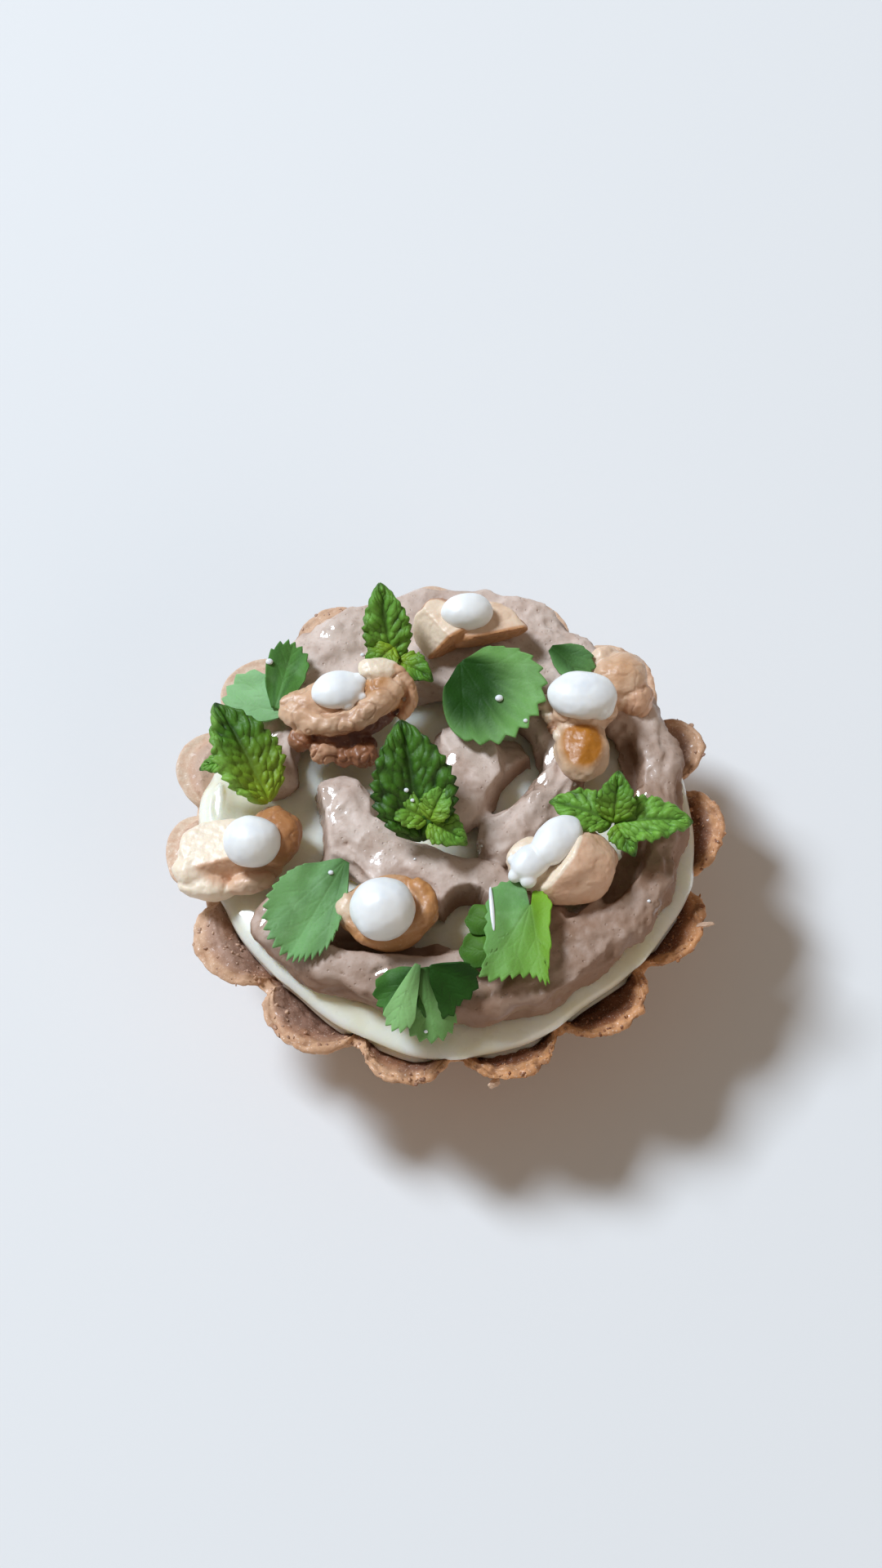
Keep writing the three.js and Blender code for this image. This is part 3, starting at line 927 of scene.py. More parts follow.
def dress(piece: Piece, finish: Finish, nodes: Sequence[str]) -> None:
    """Gives a piece its material and its place in the frame.

    Args:
        piece: The finished piece.
        finish: Its material.
        nodes: The model's nodes that it stands for.
    """
    piece.data.materials.clear()
    piece.data.materials.append(finish)
    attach(piece, ROOT)
    if nodes:
        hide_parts(*nodes)
    LOG.info("%s: %d corners", piece.name, len(piece.data.vertices))


def turning(angle: float, axis: int = 2) -> Array:
    """The turn about an axis, anticlockwise seen from its tip.

    Args:
        angle: In degrees.
        axis: 0 for X, 1 for Y or 2 for Z.

    Returns:
        The turn, for points as columns.
    """
    turned = np.eye(3)
    first, second = (axis + 1) % 3, (axis + 2) % 3
    turned[first, first] = turned[second, second] = math.cos(math.radians(angle))
    turned[second, first] = math.sin(math.radians(angle))
    turned[first, second] = -turned[second, first]
    return turned


GLAZE_SLOPE = np.array([0.32, 0.06])
GLAZE_RIPPLE = Relief(0.03, 1.3, 71)
GLAZE_STEP = 2.0


def glazed(points: Array, runs: Sequence[Sequence[float]], floor: Any) -> tuple[Array, Array]:
    """Lays small flat runs of glaze on a top, each tilted a little to the left.

    A run is an ellipse (x, y, half length, half width, turn). Inside it the height goes to a
    plane through the middle of the run, save where the piece stands a step above or below that.

    Args:
        points: Corners of the piece.
        runs: The ellipses.
        floor: Height under which nothing belongs to the top.

    Returns:
        The moved corners, and how far each lies in a run.
    """
    z, share = points[:, 2].copy(), np.zeros(len(points))
    for x, y, long, wide, turn in runs:
        off = points[:, :2] - (x, y)
        away = np.linalg.norm(off @ turning(turn)[:2, :2] / (long, wide), axis=1)
        middle = np.median(z[(np.linalg.norm(off, axis=1) < 0.6) & (z > floor)])
        plane = middle + off @ GLAZE_SLOPE + GLAZE_RIPPLE.at(points)
        here = ease_between(1.3, 0.85, away) * (np.abs(z - middle) < GLAZE_STEP)
        z, share = blend(z, plane, here), np.maximum(share, here)
    return np.column_stack([points[:, :2], z]), share


# ---- the shell


class Zone(IntEnum):
    """Where on the shell a ring of corners lies."""

    OUTSIDE = 0
    RIM = 1
    INSIDE = 2


@dataclass(frozen=True)
class Ring:
    """A ring of the shell's corners.

    Attributes:
        reach: How far out each corner lies.
        height: How high each corner lies.
        zone: Where on the shell the ring lies.
        level: Inside, 0 on the hollow's floor to 1 at the rim.
    """

    reach: Array
    height: Array
    zone: Zone
    level: float = 1.0


@dataclass
class Shell:
    """The baked shell: flat underside, fluted wall, round petals and the hollow for the filling."""

    petals: int = 15
    first_notch: float = 9.0
    notch_stray: tuple[float, ...] = (
        3.2, -2, 0, 1, -1, 0.5, -0.5, -2.2, -2.6, -0.8, 0.7, -0.2, 0.5, 1.3, 1.7,
    )
    petal_share: float = 0.89
    base_radius: float = 21.5
    notch_radius: float = 33.8
    tip_radius: float = 38.0
    base_flute: float = 0.5
    tip_height: float = 20.3
    notch_height: float = 18.9
    floor: float = 3.2
    floor_radius: float = 20.0
    inner_notch_radius: float = 32.0
    inner_tip_radius: float = 37.0
    inner_flute: float = 0.4
    face_lift: float = 2.1
    toasted_petal: int = 4
    wear_radius: float = 35.0
    wear: Relief = Relief(0.28, 2.4, 5)
    pits: Relief = Relief(1.0, 1.5, 21)
    pit_depth: float = 0.22
    furrows: tuple[Relief, ...] = (Relief(1.0, 2.8, 13), Relief(0.45, 1.2, 14))
    crumb: Relief = Relief(1.0, 1.1, 11, 3)
    waver: Relief = Relief(0.3, 5.0, 12)
    columns: int = 880

    def __post_init__(self) -> None:
        """Works out the columns, evenly spaced along the petals' outline.

        Each has its angle, its way out, its petal's outline and number, the height of the rim, and
        how thin its petal is: 0 for the puffed ones on the left to 1 for those in front and right.
        """
        fine = np.linspace(0, WHOLE_TURN, 20001)
        petal, _ = self.petal(fine)
        reach = self.outer_radius(petal, 1.0)
        path = np.stack([reach * np.cos(fine), reach * np.sin(fine)], axis=1)
        way = np.concatenate([[0], np.cumsum(np.linalg.norm(np.diff(path, axis=0), axis=1))])
        even = np.linspace(0, way[-1], self.columns, endpoint=False)
        self.angles = np.interp(even, way, fine)
        self.around = np.stack([np.cos(self.angles), np.sin(self.angles), 0 * self.angles], axis=1)
        self.outline, self.number = self.petal(self.angles)
        worn = self.wear.at(self.wear_radius * self.around)
        self.rim = self.rim_height(self.outline, self.angles) + worn
        self.thin = ease_between(-0.35, 0.5, np.cos(self.angles + 0.9))

    def notches(self) -> Array:
        """Angles of the notches in degrees, the first one again at the end."""
        stray = np.array(self.notch_stray + self.notch_stray[:1])
        return self.first_notch + 360 / self.petals * np.arange(self.petals + 1) + stray

    def petal(self, angle: Array) -> tuple[Array, Array]:
        """The round outline of the petals.

        Across a petal from -1 to 1 the outline is an arc of a circle whose chord is the petal's
        width and whose height is its depth, scaled to 1 on the tip. The notch is flat at 0.

        Args:
            angle: Angles in radians.

        Returns:
            The outline's height at each angle and the number of its petal.
        """
        notches = self.notches()
        degrees = (np.degrees(angle) - notches[0]) % 360 + notches[0]
        number = np.clip(np.searchsorted(notches, degrees, side="right") - 1, 0, self.petals - 1)
        across = 2 * (degrees - notches[number]) / (notches[number + 1] - notches[number]) - 1
        depth = self.tip_radius - self.notch_radius
        half = self.notch_radius * math.sin(math.pi / self.petals) * self.petal_share
        arc = (half * half + depth * depth) / (2 * depth)
        x = half * np.minimum(1, np.abs(across) / self.petal_share)
        return np.maximum(0, (np.sqrt(arc * arc - x * x) - (arc - depth)) / depth), number

    def rim_height(self, petal: Array, angle: Array) -> Array:
        """Height of the rim: up with the square root of the petal's outline, with a slow wave."""
        wave = 0.12 * np.sin(3 * angle + 0.6)
        return blend(self.notch_height, self.tip_height, np.sqrt(petal)) + wave

    def outer_radius(self, petal: Array, level: Any) -> Array:
        """Outer radius, `level` 0 at the floor to 1 at the rim. The flutes grow with its power 1.7."""
        notch = blend(self.base_radius, self.notch_radius, level**0.95)
        return notch + petal * blend(self.base_flute, self.tip_radius - self.notch_radius, level**1.7)

    def inner_radius(self, petal: Array, level: Any) -> Array:
        """Inner radius of the wall.

        The flutes grow with the cube of the level, so they show only near the rim.

        Args:
            petal: The petals' outline at each column.
            level: 0 on the hollow's floor to 1 at the rim.

        Returns:
            The radius at each column.
        """
        notch = blend(self.floor_radius, self.inner_notch_radius, level**0.95)
        flute = blend(self.inner_flute, self.inner_tip_radius - self.inner_notch_radius, level**3)
        return notch + petal * flute

    def underside(self) -> list[Ring]:
        """Flat rings under the shell, out to its lower edge."""
        foot = self.outer_radius(self.outline, 0.0)
        return [Ring(share * foot, 0 * foot, Zone.OUTSIDE) for share in np.linspace(0.06, 0.97, 9)]

    def wall(self) -> list[Ring]:
        """Rings up the fluted wall, at even shares of the rim's height."""
        levels = np.linspace(0, 0.97, 44)
        return [Ring(self.outer_radius(self.outline, t), t * self.rim, Zone.OUTSIDE) for t in levels]

    def lip(self) -> list[Ring]:
        """Rings over the rim, through a half turn from the outside to the inside.

        A thin lip rises and falls with the sine of the turn. A puffed one stays up after its
        middle, level with the puffed face inside it.

        Returns:
            The rings.
        """
        outside, inside = self.outer_radius(self.outline, 1.0), self.inner_radius(self.outline, 1.0)
        rings = []
        for turn in np.linspace(0.12, 0.88, 9) * np.pi:
            reach = (outside + inside) / 2 + (outside - inside) / 2 * math.cos(turn)
            puffed_lip = 0.24 * math.sin(min(turn, np.pi / 2)) - 0.16
            thin_lip = 0.5 * math.sin(turn) - 0.3
            rings.append(Ring(reach, self.rim + blend(puffed_lip, thin_lip, self.thin), Zone.RIM))
        return rings

    def face(self) -> list[Ring]:
        """Rings down the petals' faces and on to the floor of the hollow.

        A face swells with the petal's outline, or with its square root where it is puffed. The
        swelling eases out down the wall, and its top stays near the rim's height.

        Returns:
            The rings.
        """
        puffed = 1 - self.thin
        lift = self.face_lift * blend(1.0, 0.2, self.thin) + 0.5 * puffed
        full = lift * blend(np.sqrt(self.outline), self.outline, self.thin)
        rings = []
        for level in np.concatenate([np.linspace(0.985, 0.5, 44), np.linspace(0.42, 0, 5)]):
            plain = blend(self.floor, self.rim, level)
            bulge = puffed * (0.08 + 0.45 * ease_between(1.0, 0.93, level))
            most = blend(1.0, 0.85, self.thin) * (self.rim - plain) + bulge
            swell = np.minimum(full * ease_between(0.6, 0.8, level), most)
            rings.append(Ring(self.inner_radius(self.outline, level), plain + swell, Zone.INSIDE, level))
        return rings

    def tones(self, rings: Sequence[Ring]) -> dict[str, Array]:
        """The numbers that the finish reads at each corner.

        `inside` is 0 on the wall, a half on the rim and 1 in the petals, `rim` is 1 on the rim and
        fades below it, and `deep` grows below the rim, where it paints shade into the petals' hollows.
        The last number is how dark a petal is: painted shade that follows the cosine of the angle from
        the front right, with each petal's own share of baking.

        Args:
            rings: The shell's rings.

        Returns:
            The numbers by name.
        """
        below = self.rim - np.stack([ring.height for ring in rings])
        zone = np.array([ring.zone for ring in rings])[:, None] + 0 * below
        level = np.array([ring.level for ring in rings])[:, None]
        inward = 0.5 + 0.5 * ease_between(1.0, 0.9, level)
        fade = ease_between(0.6, 0.1, below)
        inner_fade = fade * ease_between(0.955, 0.985, level)
        # Painted shade: petals towards the front right, away from the window, come out darker.
        warm = 0.46 + 0.62 * np.cos(self.angles + math.radians(46))
        warm = np.where(self.number == self.toasted_petal, 0.55, warm)
        own = lattice(np.stack([self.number] * 3, axis=1), 235)
        values = {
            "inside": np.select([zone == Zone.INSIDE, zone == Zone.RIM], [inward, 0.5], 0.0),
            "rim": np.select([zone == Zone.RIM, zone == Zone.INSIDE], [1.0, inner_fade], fade),
            "deep": np.where(zone == Zone.INSIDE, ease_between(0.3, 1.6, below), 0.0),
            "warm": np.clip(warm * 0.9 + 0.35 * (own - 0.5), 0, 1) + 0 * below,
        }
        return {key: value.ravel() for key, value in values.items()}

    def skin_form(self) -> Skin:
        """The shell as a closed skin, from the underside over the rim to the hollow's floor.

        Returns:
            The closed skin, with the numbers that the finish reads.
        """
        rings = [*self.underside(), *self.wall(), *self.lip(), *self.face()]
        points = np.stack([ring.reach[:, None] * self.around for ring in rings])
        points[..., 2] = np.stack([ring.height for ring in rings])
        skin = closed_tube(points, np.zeros(3), np.array([0.0, 0.0, self.floor]))
        skin.values = {key: np.append(value, [0.0, 0.0]) for key, value in self.tones(rings).items()}
        return skin

    def build(self) -> Piece:
        """Makes the shell and works crumbs, furrows and pits into it, most where its petals are darkest.

        Returns:
            The finished shell.
        """
        skin = self.skin_form()
        shell = skin.built("baked_shell")
        points, warm = read_points(shell.data), skin.values["warm"]
        upper = ease_between(0.3, 1.5, points[:, 2])
        pits = ease_between(0.3, 0.55, self.pits.at(points)) * warm
        furrow = sum(relief.furrows(points) for relief in self.furrows)
        crinkle = (0.1 + 0.75 * warm) * (furrow - 0.36)
        crumb = (0.05 + 0.1 * warm) * self.crumb.at(points)
        push(shell, upper * (crumb + self.waver.at(points) + crinkle - self.pit_depth * pits))
        write_value(shell.data, "pit", pits)
        dress(shell, BakedCrust().material(), ["crust"])
        return shell


# ---- the cream


@dataclass
class Cream:
    """The set cream: it fills the shell, stands a little proud of it and has a rounded lip."""

    shell: Shell
    crown: float = 23.6
    shoulder_radius: float = 30.2
    shoulder: float = 21.7
    lip_top: float = 21.1
    lip_bottom: float = 19.85
    wall_gap: float = 0.05
    rim_gap: float = 0.3
    edge_marks: Rows = (
        (11, 33.2), (30, 33.2), (55, 33), (85, 32.6), (115, 32.8), (145, 32.8), (174, 32.5), (190, 32.9),
        (205, 31.8), (228, 31.2), (248, 32.6), (265, 34), (286, 33.7), (305, 32.3), (328, 33.3), (345, 34.3),
    )
    hump: tuple[float, ...] = (-30.9, 1.4, 1.9, 4.8, 1.7)
    glints: Rows = ((-30.6, 2.8, 2.6, 0.6, 85),)
    ripples: tuple[Relief, ...] = (Relief(0.3, 9.0, 41), Relief(0.1, 3.2, 42))
    bubbles: Dimples = Dimples(5.0, 0.45, 0.12, 43)
    bubble_depth: float = 0.2
    top_rows: int = 70
    lip_rows: int = 52
    columns: int = 640

    def edge(self, angle: Array) -> Array:
        """Radius of the poured edge: an S-curve from each mark to the next.

        Args:
            angle: Angles in radians.

        Returns:
            The radius at each of them.
        """
        degrees, radii = np.array(self.edge_marks).T
        degrees, radii = np.append(degrees, degrees[0] + 360), np.append(radii, radii[0])
        here = (np.degrees(angle) - degrees[0]) % 360 + degrees[0]
        k = np.clip(np.searchsorted(degrees, here, side="right") - 1, 0, len(degrees) - 2)
        share = (here - degrees[k]) / (degrees[k + 1] - degrees[k])
        return blend(radii[k], radii[k + 1], share * share * (3 - 2 * share))

    def top(self, radius: Array) -> Array:
        """Height of the top at a distance from the middle: a very flat cone."""
        return blend(self.crown, self.shoulder, radius / self.shoulder_radius)

    def skin_form(self) -> Skin:
        """The cream as a closed skin: a flat cone, a rounded lip, and the wall down to the floor.

        The lip and the wall are a smooth curve through ten rings. The lip ends inside the shell's
        wall, or at the poured edge where the rim is lower.

        Returns:
            The closed skin.
        """
        angle = np.linspace(0, WHOLE_TURN, self.columns, endpoint=False)
        petal, _ = self.shell.petal(angle)
        rim = self.shell.rim_height(petal, angle)
        edge = self.edge(angle)
        even = np.ones_like(angle)
        under = np.clip((self.lip_bottom - self.shell.floor) / (rim - self.shell.floor), 0, 1)
        inside = np.minimum(edge - 0.15, self.shell.inner_radius(petal, under) - self.rim_gap)
        top = [share * (edge - 3) for share in np.linspace(0.02, 1, self.top_rows)]
        bend = [
            (edge - 3, self.top(edge - 3)),
            (edge - 1.5, (self.lip_top + 0.33) * even),
            (edge - 0.5, (self.lip_top - 0.05) * even),
            (edge - 0.02, (self.lip_top - 0.65) * even),
            (np.where(self.lip_bottom > rim, edge - 0.15, inside), self.lip_bottom * even),
        ]
        for level in (0.93, 0.86, 0.6, 0.3, 0.0):
            reach = self.shell.inner_radius(petal, level) - self.wall_gap
            low = np.minimum(blend(self.shell.floor + self.wall_gap, rim, level), self.lip_bottom - 0.45)
            bend.append((np.minimum(reach, edge - 0.4), low))
        smooth = through(np.array(bend), np.linspace(0, len(bend) - 1, self.lip_rows))[1:]
        reach = np.concatenate([top, smooth[:, 0]])
        height = np.concatenate([[self.top(row) for row in top], smooth[:, 1]])
        rings = np.stack([reach * np.cos(angle), reach * np.sin(angle), height], axis=-1)[::-1]
        low, high = [0, 0, self.shell.floor + self.wall_gap], [0, 0, self.crown]
        return closed_tube(rings, np.array(low), np.array(high))

    def build(self) -> Piece:
        """Makes the cream, with a rippled top, a hump, a few burst bubbles and a run of glaze.

        The hump (x, y, half width, half length, height) falls as exp(-x^2 - y^4).

        Returns:
            The finished cream.
        """
        cream = self.skin_form().built("set_cream")
        points = read_points(cream.data)
        above = ease_between(18.5, 20.5, points[:, 2])
        ripple = sum(relief.at(points) for relief in self.ripples)
        away = (points[:, :2] - self.hump[:2]) / self.hump[2:4]
        hump = self.hump[4] * np.exp(-(away[:, 0] ** 2) - away[:, 1] ** 4)
        push(cream, above * (ripple - self.bubble_depth * self.bubbles.at(points) + hump))
        write_points(cream.data, glazed(read_points(cream.data), self.glints, 20.0)[0])
        dress(cream, SetCream().material(), ["cream"])
        return cream


# ---- lumps and strands


@dataclass(frozen=True)
class Tone:
    """How walnut looks at a place.

    Attributes:
        skin: 0 for bare flesh to 1 for toasted skin.
        amber: How far its colour goes to amber.
        crinkle: How wrinkled it is.
    """

    skin: float = 0.5
    amber: float = 0.0
    crinkle: float = 0.4

    def row(self) -> Array:
        """The three numbers, as a row."""
        return np.array([self.skin, self.amber, self.crinkle])


FLESH = Tone(0.05, 0.0, 0.15)


@dataclass(frozen=True)
class Cut:
    """A flat broken face: what lies past it is taken off a lump.

    Attributes:
        way: Which way the face looks.
        depth: How far it is from the lump's middle.
        tone: How the face looks.
    """

    way: Place
    depth: float
    tone: Tone = FLESH

    def beyond(self, points: Array, middle: Place) -> Array:
        """How far points lie past the face."""
        return (points - middle) @ self.unit() - self.depth

    def unit(self) -> Array:
        """Which way the face looks, with length 1."""
        return np.array(self.way) / np.linalg.norm(self.way)


@dataclass(frozen=True)
class Lump:
    """An uneven ellipsoid.

    Attributes:
        at: Its middle.
        size: Its half sizes.
        turn: Degrees that it is turned about Z.
        tone: How it looks.
        cuts: Flat faces on it.
        heart: Amber that glows through in its middle.
    """

    at: Place
    size: Place
    turn: float = 0.0
    tone: Tone = Tone()
    cuts: tuple[Cut, ...] = ()
    heart: float = 0.0

    def local(self, points: Array) -> Array:
        """Points in the ellipsoid's own frame, where its surface is 1 away from the middle."""
        return (points - self.at) @ turning(self.turn) / self.size

    def depth(self, points: Array) -> Array:
        """How deep points lie, 0 in the middle and 1 on the surface."""
        return np.linalg.norm(self.local(points), axis=1)

    def tones(self, points: Array) -> Array:
        """Skin, amber and crinkle, which change on the cut faces.

        Args:
            points: Places on the finished kernel.

        Returns:
            One row for each point.
        """
        rows = np.tile(self.tone.row(), (len(points), 1))
        glow = ease_between(1.05, 0.25, np.linalg.norm(self.local(points)[:, :2], axis=1))
        rows[:, 1] += self.heart * glow
        for cut in self.cuts:
            on_face = ease_between(-0.55, -0.15, cut.beyond(points, self.at))[:, None]
            rows = blend(rows, cut.tone.row(), on_face)
        return rows

    def skin_form(self, roughness: float, seed: int, rows: int = 32, columns: int = 48) -> Skin:
        """The lump as a closed skin: a unit sphere, swollen by noise, stretched, turned and cut.

        Args:
            roughness: How far the noise swells it, as a share of its size.
            seed: Which pattern.
            rows: Rings of corners between its poles.
            columns: Corners in a ring.

        Returns:
            The closed skin.
        """
        around = np.linspace(0, WHOLE_TURN, columns, endpoint=False)[None, :]
        up = np.linspace(-np.pi / 2, np.pi / 2, rows + 2)[1:-1, None]
        out = np.cos(up)
        flat = np.stack([out * np.cos(around), out * np.sin(around), np.sin(up) + 0 * around], -1)
        poles = np.array([[0.0, 0.0, -1.0], [0.0, 0.0, 1.0]])
        sphere = np.concatenate([flat.reshape(-1, 3), poles])
        swell = 1 + Relief(roughness, 0.9, seed, 2).at(sphere + 5.3)
        placed = (sphere * self.size * swell[:, None]) @ turning(self.turn).T + self.at
        for cut in self.cuts:
            placed -= np.maximum(0, cut.beyond(placed, self.at))[:, None] * cut.unit() * 0.96
        rings = placed[:-2].reshape(rows, columns, 3)
        return closed_tube(rings, placed[-2], placed[-1])


@dataclass(frozen=True)
class Strand:
    """A bent rod of uneven thickness.

    Attributes:
        places: [x, y, z, radius] along it.
        tone: How it looks.
    """

    places: Rows
    tone: Tone = Tone()

    def depth(self, points: Array) -> Array:
        """How deep points lie, 0 on its middle line and 1 on its surface."""
        marks = self.line(6)
        return (np.linalg.norm(points[:, None] - marks[None, :, :3], axis=2) / marks[:, 3]).min(axis=1)

    def line(self, share: int) -> Array:
        """Rows [x, y, z, radius] along it, `share` of them for each place."""
        count = len(self.places)
        return through(np.array(self.places), np.linspace(0, count - 1, share * count))

    def tones(self, points: Array) -> Array:
        """Skin, amber and crinkle at each point."""
        return np.tile(self.tone.row(), (len(points), 1))

    def skin_form(self, roughness: float, seed: int) -> Skin:
        """The strand as a closed skin, swollen by noise.

        Args:
            roughness: How far the noise swells it, as a share of its radius.
            seed: Which pattern.

        Returns:
            The closed skin.
        """
        line = self.line(12)
        lumps = Relief(1.6 * roughness, 1.9, seed, 2)

        def swell(rings: Array, way: Array, turn: Array) -> Array:
            """Noise in step with the radius."""
            return lumps.at(rings.reshape(-1, 3)).reshape(rings.shape[:2]) * line[:, 3:]

        return swept(line[:, :3], line[:, 3], 1.0, 24, swell)


Swell = Callable[[Array, Array, Array], Array]
CAP = 0.25


def swept(centre: Array, radius: Array, rise: float, columns: int, swell: Swell) -> Skin:
    """A round section carried along a line, rounded off at both ends.

    The radius runs out at the ends as a circle does, and the end corners lie a cap of a quarter
    of the radius past the line. `swell` is added to the radius all round.

    Args:
        centre: Points of the line.
        radius: Radius at each of them.
        rise: Height of the section as a share of its width.
        columns: Corners round the section.
        swell: Gives the added radius for [ring, corner], from the rings, the way along, the turn.

    Returns:
        The closed skin.
    """
    forward = np.gradient(centre, axis=0)
    step = np.linalg.norm(forward, axis=1, keepdims=True)
    forward /= step
    way = (np.cumsum(step) - step[0])[:, None]
    side = np.cross(forward, [0, 0, 1])
    side /= np.linalg.norm(side, axis=1, keepdims=True) + 1e-9
    up = np.cross(side, forward)
    from_end = np.minimum(way, way[-1] - way)[:, 0]
    rounding = np.sqrt(1 - np.clip(1 - (from_end / radius + CAP) / (1 + CAP), 0, 1) ** 2)
    turn = np.linspace(0, WHOLE_TURN, columns, endpoint=False)
    arm = side[:, None] * np.cos(turn)[:, None] + up[:, None] * (rise * np.sin(turn))[:, None]
    rings = centre[:, None] + arm * (radius * rounding)[:, None, None]
    rings = rings + arm * swell(rings, way, turn)[..., None]
    ends = centre[[0, -1]] + forward[[0, -1]] * (CAP * radius[[0, -1]] * [-1, 1])[:, None]
    return closed_tube(rings, ends[0], ends[1])


# ---- the mousse


@dataclass
class Mousse:
    """Ropes of mousse piped over the cream, melted into one."""

    cream: Cream
    lift: float = 1.6
    rise: float = 0.88
    voxel: float = 0.33
    ropes: tuple[tuple[Place, ...], ...] = (
        (
            (-23.6, -13.6, 4.2), (-17.8, -18.6, 4.8), (-11.6, -21.9, 5), (-4.4, -24, 5), (4.8, -25, 5.2),
            (13.4, -22.2, 4.9), (20.6, -16.9, 4.5), (26.2, -10.4, 4.0), (28.3, -3.1, 3.7), (28.2, 4.9, 3.4),
            (26.9, 12.6, 3.8), (21.6, 18.4, 4.2), (15.8, 23.8, 4.5), (10.6, 28.5, 5), (1.8, 30, 4.8),
            (-7.1, 29, 4.8), (-14.2, 25.4, 4.8), (-19.7, 20.2, 4.4), (-22.6, 13.6, 3.6), (-22.9, 8, 3),
            (-21.6, 3.4, 2.2),
        ),
        (
            (-13, 4.6, 3.2), (-13.4, 0.4, 4.1), (-12, -4.4, 4.5), (-6.6, -8.4, 4.5), (-0.2, -10.8, 4.2),
            (6, -12.4, 3.8), (11.4, -15.4, 4), (15, -19.6, 4),
        ),
        (
            (5.2, -6.5, 3.1), (9.5, -3.7, 3.6), (13.9, 1, 3.7), (15.9, 7.6, 3.6), (15.2, 13.4, 4.2),
            (12.4, 18, 4.6), (7.4, 21.5, 4.6), (0.1, 22.3, 4.6), (-7.2, 21.5, 4.6), (-13.3, 17.4, 4.6),
            (-18.4, 11.1, 3.6),
        ),
        ((1.3, 13, 3.6), (3.3, 8.6, 4.4), (2.8, 3.2, 4.3), (0.6, -2.4, 3.4)),
    )
    apron: Lump = Lump((7.4, 6.4, 23.4), (4, 5.6, 2.2), -20)
    hollows: Rows = (
        (9.7, 4.2, 4.0, 1.3, 50, 0.6, -0.6), (24.2, 5.6, 4.4, 2.0, 85, 0.4, 0.7),
        (23.8, -9.4, 4.2, 1.4, 60, 0.6, 1.2), (3.1, -16.4, 3.6, 3.0, 90, 0.3, -0.6),
        (-0.8, 14.8, 3.6, 1.7, 20, 0.5, -0.6), (-17.8, 0.2, 1.1, 6.5, 12, 0.5, -0.6),
        (-8, -19.6, 6.2, 1.4, -6, 0.7, 0.8),
    )
    wet_marks: tuple[Place, ...] = (
        (-16.6, 1.2, 2.4), (-14.2, -1.4, 1.5), (-9.4, -5.9, 2), (1.2, 6.4, 1.8), (12.8, 5.6, 2.4),
        (12.3, 1.8, 2.2), (4.8, -5.8, 1), (-22.9, 11.9, 1.6), (-23.6, -13, 2.6), (-8, -23.6, 1.8),
        (26.2, 2.6, 1.6), (-15.4, 27, 2), (27.6, -14.2, 1.4), (5, -27.2, 1.4), (20.4, 4, 1.6),
    )
    blob: Lump = Lump((4.9, -27.4, 26.2), (2.5, 2, 2))
    glints: Rows = (
        (1.0, 6.5, 1.3, 0.8, 70), (14.2, 7.6, 1.7, 0.8, 75), (13.1, 4.2, 1.1, 0.6, 60),
        (12.5, 1.2, 0.8, 0.5, 60), (26, 2, 1.2, 0.5, 80), (-23.2, 10.9, 1.2, 0.5, 10),
        (-23.6, -16.2, 1.6, 0.5, 65), (-8.2, -24.4, 1.3, 0.5, 10), (-20.6, 19, 2.2, 0.6, 35),
    )
    crest: float = 2.9
    uneven_crest: Relief = Relief(0.5, 7.0, 69)
    kept_above_crest: float = 0.33
    lumps: Relief = Relief(0.4, 3.4, 62)
    crumb: Relief = Relief(1.0, 1.1, 63, 2)
    furrows: Relief = Relief(1.0, 2.6, 65)
    dents: Relief = Relief(0.3, 1.6, 67)
    damp: Relief = Relief(1.0, 6.0, 64)
    browned: Relief = Relief(0.35, 4.0, 68)
    holes: tuple[Dimples, ...] = (Dimples(2.6, 0.45, 0.22, 61), Dimples(1.3, 0.22, 0.2, 66))
    hole_depth: float = 0.34
    columns: int = 40

    def rope(self, places: Sequence[Place], seed: int) -> Skin:
        """One rope, with noise stretched along it that draws the ridges that piping leaves.

        Args:
            places: [x, y, radius] along the path.
            seed: Which pattern.

        Returns:
            The closed skin.
        """
        marks = np.array(places)
        at = np.linspace(0, len(marks) - 1, 14 * len(marks))
        flat = through(marks[:, :2], at)
        height = self.cream.top(np.linalg.norm(flat, axis=1)) + self.lift
        radius = np.interp(at, np.arange(len(marks)), marks[:, 2])

        def swell(rings: Array, way: Array, turn: Array) -> Array:
            """Ridges along the rope, sharp in their valleys, and slow lumps.

            Args:
                rings: Corners of the plain rope as [ring, corner, xyz].
                way: How far along the rope each ring lies.
                turn: How far round the rope each corner lies, in radians.

            Returns:
                What is added to the radius.
            """
            across = np.broadcast_to(2.2 * np.cos(turn), rings.shape[:2])
            up = np.broadcast_to(2.2 * np.sin(turn), rings.shape[:2])
            streak = np.stack([np.broadcast_to(way / 5, rings.shape[:2]), across, up], axis=-1)
            ridges = 1.7 * (0.3 - np.abs(noise(streak.reshape(-1, 3), 1.3, seed)))
            lumps = 1.1 * noise(rings.reshape(-1, 3), 5.0, seed + 9)
            return (ridges + lumps).reshape(rings.shape[:2])

        return swept(np.column_stack([flat, height]), radius, self.rise, self.columns, swell)

    def smeared(self, points: Array) -> Array:
        """Flattens the tops of the ropes and presses the hollows down, most of them to the cream.

        What stands above the crest over the cream keeps a third of its height. A hollow is an
        ellipse (x, y, half length, half width, turn, softness, floor over the cream) that eases in
        from its edge.

        Args:
            points: Corners of the melted ropes.

        Returns:
            The moved corners.
        """
        cream = self.cream.top(np.linalg.norm(points[:, :2], axis=1))
        crest = cream + self.lift + self.crest + self.uneven_crest.at(points)
        z = points[:, 2] - (1 - self.kept_above_crest) * np.maximum(0, points[:, 2] - crest)
        for x, y, long, wide, turn, soft, floor in self.hollows:
            local = (points[:, :2] - (x, y)) @ turning(turn)[:2, :2] / (long, wide)
            share = ease_between(1 + soft, 1 - 0.3 * soft, np.linalg.norm(local, axis=1))
            z = np.where(z > cream + floor, blend(z, cream + floor, share), z)
        return np.column_stack([points[:, :2], z])

